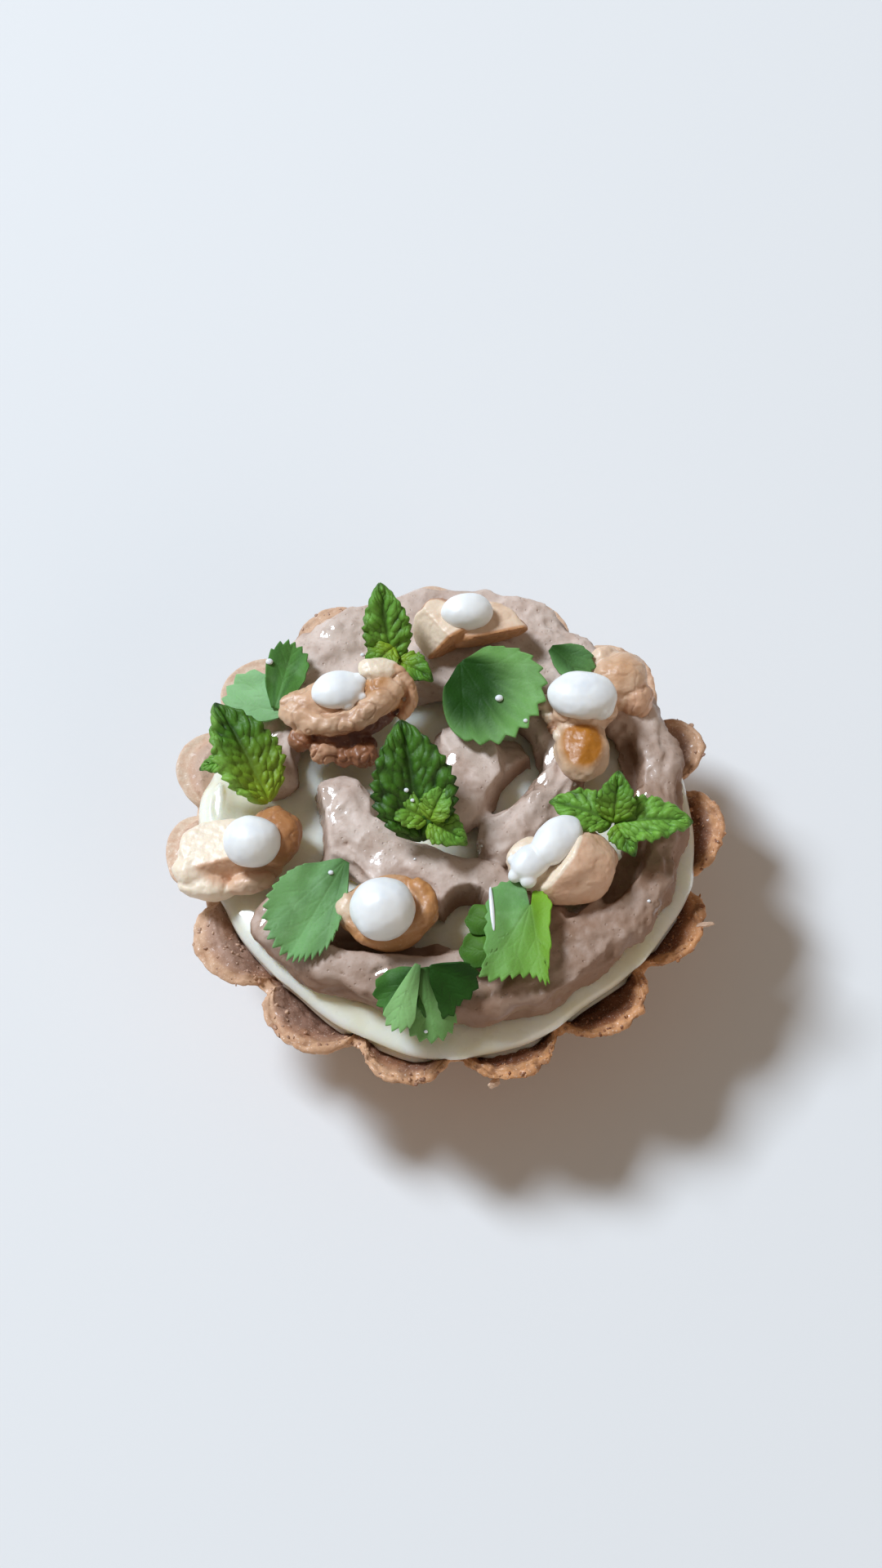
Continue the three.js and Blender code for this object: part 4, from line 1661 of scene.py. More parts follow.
    def wet_spots(self, points: Array) -> Array:
        """1 within the wet marks (x, y, radius), fading at their edges."""
        marks = np.array(self.wet_marks)
        near = np.linalg.norm(points[:, None, :2] - marks[None, :, :2], axis=2) / marks[:, 2]
        return ease_between(1.1, 0.6, near).max(axis=1)

    def build(self) -> Piece:
        """Melts the ropes together, smears them flat, opens the hollows and roughens the right side.

        Its brown is painted shade in its hollows, on steep sides and towards the front right, with
        some real browning from noise. It is wet in the wet marks, in the runs of glaze and in some damp
        places.

        Returns:
            The finished mousse.
        """
        ropes = [self.rope(places, 50 + k) for k, places in enumerate(self.ropes)]
        extra = [self.blob.skin_form(0.1, 3), self.apron.skin_form(0.2, 4)]
        mousse = melted([*ropes, *extra], "piped_mousse", self.voxel, 5)
        write_points(mousse.data, self.smeared(read_points(mousse.data)))
        points = read_points(mousse.data)
        x, y, z = points.T
        cream = self.cream.top(np.linalg.norm(points[:, :2], axis=1))
        rough = ease_between(6.0, 22.0, x) * 0.8 + 0.2
        holes = np.minimum(sum(kind.at(points) for kind in self.holes), 1)
        spots = self.wet_spots(points)
        height = self.lumps.at(points) + (0.06 + 0.14 * rough) * self.crumb.at(points)
        height += (0.2 + 0.3 * rough) * (0.25 - self.furrows.furrows(points))
        push(mousse, height - self.hole_depth * holes + spots * self.dents.at(points))
        moved, glaze = glazed(read_points(mousse.data), self.glints, cream + 1)
        write_points(mousse.data, moved)
        # Painted shade: low places, steep sides and the front right, away from the window, go brown.
        low = ease_between(0.6, 4.2, cream + self.lift + 3.2 - z)
        steep = ease_between(0.9, 0.35, read_normals(mousse.data)[:, 2])
        away = ease_between(2.0, 26.0, 0.75 * (np.maximum(x, 0) - y))
        shade_and_browning = 0.55 * low + 0.3 * steep + 0.8 * away + self.browned.at(points)
        damp = 0.5 * ease_between(0.1, 0.45, self.damp.at(points)) * (1 - 0.6 * rough)
        # Painted shade in the air holes.
        write_value(mousse.data, "hole_shade", holes)
        write_value(mousse.data, "wet", np.clip(damp + spots + glaze, 0, 1))
        write_value(mousse.data, "low", np.clip(shade_and_browning, 0, 1))
        dress(mousse, PipedMousse().material(), ["mousse"])
        return mousse


# ---- walnuts and drops


Part = Union[Lump, Strand]


KERNELS: tuple[tuple[Part, ...], ...] = (
    (
        Strand(
            (
                (-22, 13.2, 29.6, 1.3), (-20, 11.6, 30, 1.6), (-16.7, 10.6, 30.2, 1.7),
                (-13.2, 10.7, 30.6, 1.7), (-10.3, 11.9, 31.2, 1.8), (-7.7, 13.9, 32, 1.7),
                (-5.9, 15.9, 32.6, 1.3),
            ),
            Tone(0.34, 0.3, 0.34),
        ),
        Lump((-14.6, 14.4, 30.2), (7.6, 3.2, 1.8), 10, Tone(0.36, 0.3, 0.2)),
        Lump((-8.3, 15, 31), (2.8, 2.8, 2.8), 20, Tone(0.3, 0.8, 0.4)),
        Lump((-8.9, 17.4, 33.2), (2.8, 1.7, 1), 0, Tone(0.04, 0.05, 0.1)),
        Strand(
            (
                (-6.6, 17.4, 33.2, 0.8), (-5.2, 16.4, 32.6, 0.8), (-4.3, 14.1, 30.6, 0.9),
                (-6, 11.7, 29.2, 0.8),
            ),
            Tone(0.4, 0.3, 0.2),
        ),
        Lump((-12.6, 12.6, 28.6), (6.6, 3, 2.4), 6, Tone(1.7, 0, 0.25)),
        Lump((-14.4, 9.6, 27.2), (5.4, 1.9, 1.9), -8, Tone(1.4, 0, 0.4)),
        Lump((-19.4, 9.4, 27.9), (1.7, 1.6, 1.7), 0, Tone(0.9, 0.1, 0.4)),
        Lump((-16.2, 7.6, 27.7), (2, 1.7, 1.6), 0, Tone(0.7, 0.1, 0.6)),
        Lump((-13.4, 7.2, 27.3), (1.6, 1.5, 1.5), 0, Tone(0.95, 0.1, 0.5)),
        Lump((-10.8, 7.2, 27.5), (1.9, 1.8, 1.7), 0, Tone(1.05, 0.1, 0.5)),
    ),
    (
        Lump(
            (-0.3, 25, 29.8), (4, 4.8, 3.8), 15, Tone(0.8, 0.2, 0.2),
            (
                Cut((-0.6, -0.5, 0.62), 1.9, Tone(0.2, 0.08, 0.05)),
                Cut((0, 0, 1), 2.5, Tone(0.26, 0.04, 0.06)),
                Cut((0.5, -0.85, -0.1), 2.2, Tone(0.6, 0.6, 0.2)),
            ),
        ),
        Lump(
            (5.4, 25.7, 30), (6.2, 3.7, 2.6), -8, Tone(0.75, 0.3, 0.3),
            (
                Cut((0.05, 0.1, 1), 1.35, Tone(0.3, 0.06, 0.08)),
                Cut((0.25, -0.95, -0.15), 1.9, Tone(0.7, 0.5, 0.2)),
            ),
        ),
    ),
    (
        Lump((18.3, 13.8, 28.9), (5, 3.8, 2.6), 0, Tone(0.35, 0.1, 0.3)),
        Lump((18.5, 8, 28), (3.7, 5.1, 2.6), 4, Tone(0.1, 0.4, 0.05), (), 1.2),
        Lump((13.4, 14.3, 29.3), (1.6, 1.1, 1), -30, Tone(0.16, 0.1, 0.5)),
        Lump((14.2, 12.6, 28.9), (1.2, 1.1, 1), 0, Tone(0.1, 0, 0.6)),
        Lump((14.6, 11, 28.2), (0.9, 0.9, 0.9), 0, Tone(0.75, 0, 0.6)),
        Lump((15.6, 9.4, 28.4), (1.1, 0.8, 0.8), -40, Tone(0.02, 0, 0.4)),
        Lump((23.8, 18.8, 27.4), (3.9, 4.2, 3.6), -15, Tone(0.34, 0.06, 0.14), (), 0.4),
        Lump((21.8, 21.6, 27.6), (2.6, 2, 2), 30, Tone(0.3, 0.02, 0.12)),
        Lump((26.2, 16.2, 26.6), (2.3, 2.8, 2.8), 0, Tone(0.5, 0, 0.2)),
    ),
    (
        Lump(
            (-28.4, -6.6, 25.5), (7.2, 5, 3.4), -8, Tone(0.1, 0.02, 0.04),
            (
                Cut((-0.15, 0.05, 1), 1.7, Tone(0.1, 0.02, 0.03)),
                # Painted shade: the scoop facing the viewer is tan.
                Cut((0.1, -0.85, 0.5), 2.3, Tone(0.42, 0.06, 0.06)),
            ),
        ),
        Lump((-33, -8.2, 24.6), (3.1, 2.6, 2), 24, Tone(0.02, 0, 0.03)),
        # Orange brown skin, made darker as painted shade beside the drop.
        Lump((-22.4, -4.6, 26.9), (3.7, 4.4, 3), 10, Tone(0.8, 0.5, 0.16)),
        Lump((-31.8, -10.8, 24.1), (3.8, 1.9, 1.7), -8, Tone(0.08, 0, 0.04)),
        Lump((-25.6, -10.6, 24.9), (3.2, 1.5, 1.6), 12, Tone(0.3, 0.1, 0.12)),
    ),
    (
        Lump(
            (-7.5, -16.4, 27.9), (6.5, 5, 3.5), 0, Tone(0.3, 0.78, 0.06),
            (Cut((0, 0, 1), 1.8, Tone(0.25, 0.7, 0.06)),),
        ),
        Strand(
            (
                (-4.4, -12.6, 29.4, 0.9), (-2.4, -14.2, 29.5, 1.2), (-2.2, -16.8, 29.3, 1.2),
                (-4.2, -19.4, 28.6, 0.9),
            ),
            Tone(0.3, 0.85, 0.1),
        ),
        Lump((-12.6, -16.2, 28.7), (1.7, 2.2, 1.7), 0, Tone(0.06, 0.22, 0.06)),
    ),
    (
        Lump(
            (16.6, -9.8, 28.6), (6, 5.2, 4.4), 20, Tone(0.42, 0.02, 0.05),
            (Cut((-0.72, 0.3, 0.62), 2.5, Tone(0.1, 0.12, 0.04)),),
        ),
        Lump((12, -9.6, 28.8), (3.8, 3.6, 2.4), 35, Tone(0.1, 0.12, 0.08)),
    ),
)


@dataclass
class Walnuts:
    """Broken walnut kernels, each a few lumps and strands melted into one and wrinkled."""

    voxel: float = 0.18
    kernels: tuple[tuple[Part, ...], ...] = KERNELS
    roughness: float = 0.16
    swells: tuple[Relief, ...] = (Relief(0.5, 2.6, 97), Relief(0.3, 1.1, 98))
    grain: Relief = Relief(0.07, 0.9, 99, 2)
    crease_depth: float = 0.3

    def build(self) -> None:
        """Makes the kernels one by one."""
        finish = ToastedWalnut().material()
        for number, parts in enumerate(self.kernels, 1):
            skins = [part.skin_form(self.roughness, 70 + 13 * number + k) for k, part in enumerate(parts)]
            kernel = melted(skins, f"walnut_kernel_{number}", self.voxel, 2)
            self.wrinkle(kernel, parts, number)
            dress(kernel, finish, [f"walnut_{number}"])

    def wrinkle(self, kernel: Piece, parts: Sequence[Part], number: int) -> None:
        """Gives a kernel its wrinkles and tells each corner its colour.

        A corner takes the tones of its parts, weighted by how close it lies to each. Wrinkles
        are ridges of noise, 1 where the noise crosses 0, cut in as creases that the finish paints with
        shade.

        Args:
            kernel: The melted kernel.
            parts: What it was melted from.
            number: Which kernel.
        """
        points = read_points(kernel.data)
        depth = np.stack([part.depth(points) for part in parts])
        weight = np.exp(-(depth - depth.min(axis=0)) / 0.08)
        weight /= weight.sum(axis=0)
        tones = np.einsum("pn,pnk->nk", weight, np.stack([part.tones(points) for part in parts]))
        skin, amber, crinkle = tones.T
        fold = Relief(1.0, 2.2, 90 + number).furrows(points)
        crease = ease_between(0.15, 0.0, fold) * np.clip(crinkle * 1.5, 0, 1)
        swell = crinkle * sum(relief.at(points) for relief in self.swells)
        push(kernel, swell - self.crease_depth * crease + self.grain.at(points))
        write_value(kernel.data, "skin", skin)
        write_value(kernel.data, "amber", np.clip(amber, 0, 1))
        write_value(kernel.data, "crease", crease)


@dataclass
class Drops:
    """White drops: smooth domes, two of them with an edge that ran."""

    voxel: float = 0.14
    drops: tuple[tuple[Lump, ...], ...] = (
        (
            Lump((-14.3, 14.6, 32.3), (3.6, 2.8, 1.7), 14),
            Lump((-11.8, 15.8, 32.3), (1.5, 1.3, 1.1)),
            Lump((-11.2, 13.6, 32.2), (0.8, 0.7, 0.6)),
            Lump((-13, 12.4, 32), (0.9, 0.7, 0.7)),
        ),
        (Lump((3.1, 26.7, 32.4), (3.55, 2.6, 2.3)),),
        (Lump((18.6, 14.1, 31.7), (4.7, 3.5, 2.5), -5), Lump((21, 13, 31.2), (1.9, 2.3, 1.7))),
        (Lump((-25.4, -6.7, 29.4), (3.85, 3.6, 3.2)),),
        (Lump((-8, -17.2, 31), (4.3, 4.25, 3.5)),),
        (
            Lump((14.8, -7.6, 31.7), (4.2, 2.8, 1.9), 48),
            Lump((11.4, -10.4, 31.1), (3, 2.3, 1.6), 40),
            Lump((9.4, -12, 30.6), (1.3, 1, 0.9), 60),
            Lump((11, -13, 30.6), (1.1, 1, 0.9)),
            Lump((9.1, -10.2, 30.9), (0.9, 0.8, 0.7)),
        ),
    )
    grain: Relief = Relief(0.03, 0.9, 131)

    def build(self) -> None:
        """Makes the drops one by one."""
        finish = WhiteDrop().material()
        for number, lumps in enumerate(self.drops, 1):
            skins = [lump.skin_form(0.04, 110 + number, 48, 64) for lump in lumps]
            drop = melted(skins, f"white_drop_{number}", self.voxel, 8)
            points = read_points(drop.data)
            push(drop, Relief(0.1, 3.0, 130 + number).at(points) + self.grain.at(points))
            dress(drop, finish, [f"drop_{number}"])


# ---- leaves


@dataclass(frozen=True)
class LeafPlace:
    """Where a leaf is and how it lies.

    Attributes:
        base: Where its stem meets it.
        yaw: Degrees anticlockwise from +X that it points to.
        pitch: Degrees that its tip is lifted.
        roll: Degrees that it is rolled about its own length.
        length: Its length.
        arch: How far it bends down along its length.
        fold: How steeply it closes about its middle rib.
        young: 0 for green to 1 for young and yellow.
        pale: How much lighter it is, as painted light and sheen.
        dark: How much painted shade it has at its tip and at its stem.
    """

    base: Place
    yaw: float
    pitch: float
    roll: float
    length: float
    arch: float
    fold: float
    young: float = 0.0
    pale: float = 0.0
    dark: tuple[float, float] = (0.0, 0.0)

    def laid(self, flat: Array, ripple: float, height: Array) -> Array:
        """Bends a flat leaf, turns it and puts it in place.

        Height is the fold, a valley along the rib, less a parabola along the length, plus a
        ripple, plus the leaf's own height. The turn is about the rib, then the tip up, then yaw.

        Args:
            flat: Corners in the leaf's plane as [row, column, xy], the stem at 0,0, the tip at +y.
            ripple: Height of the ripple.
            height: Height of each corner above the leaf's plane.

        Returns:
            The placed corners.
        """
        x, y = flat[..., 0], flat[..., 1]
        along = y / self.length
        wave = ripple * np.sin(1.5 * x + 0.6) * np.sin(5 * along + 0.5)
        valley = self.fold * (np.sqrt(x * x + 0.16) - 0.4)
        z = valley - self.arch * (2 * along * along - along) + wave + height
        turned = turning(self.yaw - 90) @ turning(self.pitch, 0) @ turning(self.roll, 1)
        return np.stack([x, y, z], axis=-1) @ turned.T + self.base


@dataclass(frozen=True)
class MintLeaf:
    """A quilted mint leaf with a saw-toothed edge.

    Attributes:
        place: Where it lies.
        width: Its width.
        pairs: How many pairs of side veins it has.
        hem: How pale its left margin is.
        rows: Rows of corners along it.
        columns: Corners in a row.
    """

    place: LeafPlace
    width: float
    pairs: int = 7
    hem: float = 0.0
    rows: int = 96
    columns: int = 73

    def outline(self, along: Array, across: Array) -> Array:
        """Half the leaf's width, with its teeth.

        It is a power of the sine of pi y^0.8, so the leaf is widest below its middle. The teeth
        are a saw that rises over three quarters of its pitch, so they point forward.

        Args:
            along: Share of the length, one for each row.
            across: -1 at the left edge to 1 at the right one.

        Returns:
            The half width at each corner.
        """
        half = 0.5 * self.width * np.sin(np.pi * along**0.8) ** 0.75
        saw = (1.6 * self.pairs * along + 0.3 * np.sign(across)) % 1.0
        tooth = np.minimum(saw / 0.75, (1 - saw) / 0.25)
        return half * (1 - 0.13 * (1 - tooth) * ease_between(0.6, 1.0, np.abs(across)))

    def quilting(self, x: Array, along: Array, across: Array, vein_place: Array) -> Array:
        """How far the blade swells between its veins.

        It swells in uneven domes, one round each scattered mark, that are lowest on the side veins
        and run out at the rib, at the edge and at both ends.

        Args:
            x: How far right of the rib each corner lies.
            along: Share of the length, one for each row.
            across: -1 at the left edge to 1 at the right one.
            vein_place: Number of the side vein at each corner, with its fraction.

        Returns:
            The swelling at each corner, 0 to 1.
        """
        side = np.abs(across)
        leaf_number = self.width + 2 * np.sign(across) + 0 * along
        cells = np.stack([x / 0.95, 2.3 * vein_place, leaf_number], axis=-1)
        gap, own = nearest(cells.reshape(-1, 3), 1.0, 17)
        dome = (np.clip(1 - 1.15 * gap * gap, 0, 1) * (0.6 + 0.4 * own)).reshape(x.shape)
        swell = dome * (0.55 + 0.45 * np.sin(np.pi * (vein_place % 1.0)) ** 0.6)
        swell = swell * ease_between(0.0, 0.2, side) * ease_between(1.1, 0.85, side)
        return swell * ease_between(0.0, 0.08, along) * ease_between(1.0, 0.93, along)

    def skin_form(self) -> Skin:
        """Works out the leaf.

        Side veins run out and forward from the rib. The blade swells between them, and its edge is
        crimped in a slow wave and bends down with the cube of the way out. A long leaf is
        quilted deeper than a short one.

        Returns:
            The closed skin, with the numbers that the finish reads.
        """
        place, length = self.place, self.place.length
        along = ((1 - np.cos(np.linspace(0.02, 1, self.rows) * np.pi)) / 2)[:, None]
        across = np.linspace(-1, 1, self.columns)[None, :]
        side, sign = np.abs(across), np.sign(across)
        x = self.outline(along, across) * across
        vein_place = self.pairs * along - 0.24 * self.pairs * side + 0.25 * sign
        swell = self.quilting(x, along, across, vein_place)
        crimp = 0.32 * np.sin(WHOLE_TURN * (0.8 * self.pairs * along + 0.5 * sign)) * side**2
        depth = 0.4 + 0.6 * min(1.0, length / 12)
        height = depth * (0.75 * swell + crimp - 0.5 * side**3)
        middle = place.laid(np.stack([x, length * along + 0 * x], axis=-1), 0.2, height)
        from_vein = np.minimum(vein_place % 1.0, 1 - vein_place % 1.0)
        vein = np.maximum(ease_between(0.09, 0.0, side), 0.7 * ease_between(0.16, 0.0, from_vein))
        hem = self.hem * ease_between(-0.55, -0.8, across) + 0 * swell
        # The swelling paints light on the domes and shade between them; `pale` and `dark` add painted light
        # and shade; the hem is the leaf's real pale margin.
        values = {
            "swell": swell,
            "vein": vein,
            "young": place.young * np.clip(1.4 - 2 * along, 0, 1.3) * (1 - 0.7 * hem),
            "pale": place.pale * (0.3 + 0.7 * swell) + hem,
            "dark": blend(place.dark[1], place.dark[0], along) * (1 - 0.5 * swell),
        }
        return sheet(middle, 0.34, values)


BLADE_WAVE = Relief(0.1, 2.2, 5)


@dataclass(frozen=True)
class CorianderBlade:
    """A fan-shaped coriander blade.

    Attributes:
        place: Where it lies.
        stem: Width of its stem edge.
        marks: (turn in degrees, reach as a share of the length) round its edge.
        teeth: How many teeth round its edge.
        pleat: Height of the pleats that run out from the stem.
        pleats: How many pleats.
        veins: Turns in degrees of its main veins.
        sunny: How much younger its right edge is than its left.
        shaded: How much more painted shade its right edge has than its left.
        smooth_from: Share of its edge from the left after which it has no teeth.
        rows: Rows of corners from its stem to its edge.
        columns: Corners in a row.
    """

    place: LeafPlace
    stem: float
    marks: Rows
    teeth: int = 17
    pleat: float = 0.0
    pleats: float = 3.0
    veins: tuple[float, ...] = (-30, 0, 30)
    sunny: float = 0.0
    shaded: float = -0.2
    smooth_from: float = 2.0
    rows: int = 40
    columns: int = 181

    def skin_form(self) -> Skin:
        """Works out the blade.

        A row is a share of the reach and a column is a turn. The reach is a smooth curve through
        the marks with pointed teeth. Each vein is a straight line with three side veins a side.

        Returns:
            The closed skin, with the numbers that the finish reads.
        """
        place, length = self.place, self.place.length
        marks = np.array(self.marks)
        share = np.linspace(0, 1, self.columns)
        curve = through(marks, share * (len(marks) - 1))
        turn, reach = np.radians(curve[:, 0]), curve[:, 1] * length
        saw = (share * self.teeth) % 1.0
        tooth = np.minimum(saw / 0.65, (1 - saw) / 0.35)
        toothed = ease_between(self.smooth_from + 0.1, self.smooth_from, share)
        reach = reach * (1 - 0.08 * (1 - tooth) * toothed)
        out = np.linspace(0, 1, self.rows)[:, None]
        x = self.stem * (share - 0.5) * (1 - 0.3 * out) + out * reach * np.sin(turn)
        flat = np.stack([x, out * reach * np.cos(turn)], axis=-1)
        fan = WHOLE_TURN * self.pleats * (share - 0.5)
        wave = BLADE_WAVE.at(np.stack([flat[..., 0], flat[..., 1], 0 * x], -1).reshape(-1, 3))
        vein = self.vein_lines(flat)
        height = self.pleat * np.cos(fan) * out + wave.reshape(x.shape) - 0.06 * vein
        middle = place.laid(flat, 0.2, height)
        across, along = 2 * (share - 0.5) + 0 * x, out + 0 * x
        # Painted shade, given at the stem and at the tip, and more to one side.
        darkening = blend(place.dark[1], place.dark[0], along) + self.shaded * across
        values = {
            # Painted light and shade that follow the pleats.
            "swell": 0.55 + 0.25 * np.cos(fan + 0.6) + 0 * x,
            "vein": vein,
            "young": place.young * np.clip(0.6 + self.sunny * across, 0, 2),
            "pale": place.pale + 0 * x,
            "dark": ease_between(-0.2, 1.0, darkening),
        }
        return sheet(middle, 0.3, values)

    def vein_lines(self, flat: Array) -> Array:
        """How near each corner is to the nearest vein.

        It falls as the exponential of the squared gap from a line, and by half along the line. Each
        main vein has three side veins a side.

        Args:
            flat: Corners in the leaf's plane.

        Returns:
            1 on the veins and 0 beside them.
        """
        length = self.place.length
        lines = []
        for turn in np.radians(self.veins):
            way = np.array([math.sin(turn), math.cos(turn)])
            lines.append((np.zeros(2), way * 0.93 * length, 0.2))
            for at, side in product((0.38, 0.58, 0.76), (-1, 1)):
                angle = turn + math.radians(34 * side)
                branch = np.array([math.sin(angle), math.cos(angle)]) * 0.26 * length
                lines.append((way * at * length, way * at * length + branch, 0.11))
        nearest_line = np.zeros(flat.shape[:2])
        for start, end, wide in lines:
            run = end - start
            share = np.clip(((flat - start) @ run) / (run @ run), 0, 1)
            gap = np.linalg.norm(flat - start - share[..., None] * run, axis=-1)
            nearest_line = np.maximum(nearest_line, np.exp(-((gap / wide) ** 2)) * (1 - 0.5 * share))
        return nearest_line


Blade = Union[MintLeaf, CorianderBlade]


def leaves_built(leaves: Sequence[Sequence[Blade]], finish: FreshLeaf, slot: Slot, name: str) -> list[Piece]:
    """Makes the leaves of one herb.

    Args:
        leaves: The blades of each leaf.
        finish: How they look.
        slot: The herb's slot, whose name its nodes bear too.
        name: Name of the pieces, before their number.

    Returns:
        The finished leaves.
    """
    green = finish.material()
    made = []
    for number, blades in enumerate(leaves, 1):
        leaf = joined(blade.skin_form() for blade in blades).built(f"{name}_{number}")
        dress(leaf, green, [f"{slot.value}_{number}"])
        made.append(leaf)
    return made


SPRIGS: tuple[tuple[MintLeaf, ...], ...] = (
    (
        MintLeaf(LeafPlace((-7.2, 20, 29.8), 100, 44, 0, 11, 1.2, 0.3, 0.1, 0.5), 7, 6),
        MintLeaf(LeafPlace((-6.8, 21.4, 31.8), 226, 4, 0, 5.2, 1.2, 0.3, 0.6, 0.3), 4.8, 4),
        MintLeaf(LeafPlace((-6.6, 19.9, 30.6), 328, 20, 0, 5.6, 1.2, 0.3, 0.6, 0.3), 4.8, 4),
    ),
    (
        MintLeaf(
            LeafPlace((-23.4, -0.2, 28.2), 119, 24, 10, 15, 1.6, 0.22, 0.62, 0.1, (0.55, 0)), 10, 7, 0.8
        ),
        MintLeaf(LeafPlace((-28, 5.4, 29), 190, 8, 0, 4.6, 0.8, 0.3, 0.3, 0.6), 3.4, 4),
    ),
    (
        MintLeaf(LeafPlace((-3, -6.8, 29.8), 101, 33, 0, 16, 1.6, 0.3, 0, 0.1, (0.5, 0.75)), 12, 7),
        MintLeaf(LeafPlace((-2.2, -4.8, 31.6), 158, 22, 0, 6.4, 1.4, 0.35, 0.3, 0.6), 5.4, 4),
        MintLeaf(LeafPlace((-1.8, -4.8, 31.8), 62, 46, 0, 5, 1.4, 0.4, 0.4, 0.7), 4.6, 4),
        MintLeaf(LeafPlace((-2.2, -5, 31.2), 335, 8, 0, 5.4, 1.4, 0.3, 0.3, 0.6), 5.6, 4),
    ),
    (
        MintLeaf(LeafPlace((22, -4.4, 30), 158, 14, 8, 8.4, 1.2, 0.25, 0.1, 0.7), 7, 5),
        MintLeaf(LeafPlace((22.6, -4.6, 30), 4, 10, -10, 10, 1.4, 0.22, 0.05, 0.8), 7.8, 6),
        MintLeaf(LeafPlace((22.4, -4.2, 30.2), 84, 46, 0, 6.6, 0.8, 0.35, 0.25, 0.4), 5.6, 4),
        MintLeaf(LeafPlace((22.6, -4.8, 30.2), 300, 14, 0, 4.6, 1, 0.25, 0.25, 0.5), 4.2, 4),
    ),
)


@dataclass
class Mint:
    """Four sprigs of mint."""

    sprigs: tuple[tuple[MintLeaf, ...], ...] = SPRIGS

    def build(self) -> list[Piece]:
        """Makes the sprigs one by one."""
        return leaves_built(self.sprigs, MINT_GREEN, Slot.MINT, "mint_sprig")


# Edges of coriander blades, as (turn in degrees, reach as a share of the length) from left to right.
ROUND = (
    (-76, 0.26), (-64, 0.46), (-50, 0.7), (-34, 0.88), (-16, 0.98), (0, 1.0), (16, 0.99), (34, 0.9),
    (50, 0.72), (64, 0.48), (76, 0.28),
)
SLIM = (
    (-32, 0.3), (-26, 0.55), (-17, 0.82), (-7, 0.97), (0, 1.0), (8, 0.95), (17, 0.8), (26, 0.55), (32, 0.3),
)
LOPSIDED = (
    (-30, 0.3), (-26, 0.5), (-19, 0.78), (-9, 0.95), (0, 1.0), (14, 0.96), (30, 0.8), (44, 0.55), (52, 0.32),
)
OVATE = (
    (-46, 0.3), (-40, 0.5), (-28, 0.78), (-13, 0.95), (0, 1.0), (13, 0.96), (28, 0.78), (40, 0.5), (46, 0.3),
)
PLEAT = ((-24, 0.8), (-14, 0.95), (0, 1.0), (14, 0.94), (24, 0.78))
NARROW_FAN = ((-56, 0.6), (-42, 0.88), (-18, 0.98), (0, 0.9), (18, 1.0), (42, 0.88), (56, 0.6))
STRIPE = ((-15, 0.82), (-8, 0.96), (0, 1.0), (8, 0.96), (15, 0.82))
SPREAD = (
    (-172, 0.16), (-140, 0.2), (-107, 0.22), (-44, 0.3), (-18, 0.66), (-11.5, 0.93), (-7, 0.9), (0.5, 0.82),
    (12, 0.86), (22, 0.95), (33, 1.0), (39, 0.78), (60, 0.56), (82, 0.48), (119, 0.43), (142, 0.35),
    (170, 0.26),
)


CORIANDER_LEAVES: tuple[tuple[CorianderBlade, ...], ...] = (
    (
        CorianderBlade(
            LeafPlace((-21.2, 13.2, 28.6), 152, -6, -10, 10, 0.8, 0.1, 0, 1),
            1, OVATE, 9, veins=(-14, 12),
        ),
        CorianderBlade(
            LeafPlace((-22.9, 13.6, 28.9), 76, 4, 14, 10.8, 0.8, 0.16, 0.05, 0.1, (0.1, 0.2)),
            1, SLIM, 11, veins=(0,),
        ),
    ),
    (
        CorianderBlade(
            LeafPlace((2.2, 19.6, 31), 315, -8, 12, 13.4, -1.8, 0.12, 0.3, 0.4, (-0.3, 1.8)),
            1, ROUND, 17, veins=(-42, -14, 14, 42), shaded=0.9, smooth_from=0.68,
        ),
    ),
    (
        CorianderBlade(
            LeafPlace((14.4, 22.2, 30.2), 328, -8, 0, 7, 0.6, 0.2, 0, 0.4, (0.1, 0.9)),
            1, OVATE, 9, veins=(-16, 8),
        ),
    ),
    (
        CorianderBlade(
            LeafPlace((-13, -9.8, 30), 240, -9, 0, 15.4, 0.8, 0.16, 0, 0.5, (-0.3, 0.45)),
            1.2, LOPSIDED, 25, veins=(-18, 0, 18),
        ),
    ),
    (
        CorianderBlade(
            LeafPlace((11.2, -16, 29.6), 270, -2, 0, 12.5, 0.4, 0.1, 0.75, 0.35, (-0.3, 0.1)),
            0.2, SPREAD, 25, veins=(-8, 14, 30), sunny=-0.9,
        ),
        CorianderBlade(
            LeafPlace((6.6, -18, 29.3), 182, -4, 0, 4, 0.2, 0.06, 0.9, 0, (0.6, 0.4)),
            0.8, ROUND, 5, veins=(0,),
        ),
        CorianderBlade(
            LeafPlace((6.4, -22.2, 28.9), 182, -4, 0, 4.6, 0.2, 0.06, 0.9, 0, (0.6, 0.4)),
            0.8, ROUND, 5, veins=(0,),
        ),
    ),
    (
        CorianderBlade(
            LeafPlace((-3.2, -25.6, 30), 214, -22, 0, 7.4, 0.5, 0.06, 0, 0, (0.4, 0.9)),
            1, OVATE, 9, veins=(0,),
        ),
        CorianderBlade(
            LeafPlace((-2.2, -25.4, 30.4), 318, -24, 24, 7.3, 0.4, 0.1, 0, 0, (0.7, 1.3)),
            1.4, NARROW_FAN, 9, pleat=0.3, pleats=2,
        ),
        CorianderBlade(
            LeafPlace((-2.6, -25.4, 30.7), 278, -32, 0, 10.2, 0.4, -0.35, 0.2, 0.5, (-0.5, 0.8)),
            1, PLEAT, 7, pleats=1, veins=(0,),
        ),
        CorianderBlade(
            LeafPlace((-3.4, -25.3, 31.4), 247, -26, 0, 9.4, 0.2, -0.3, 0.4, 1, (-0.9, 0.5)),
            0.7, STRIPE, 5, pleats=1, veins=(0,),
        ),
    ),
)


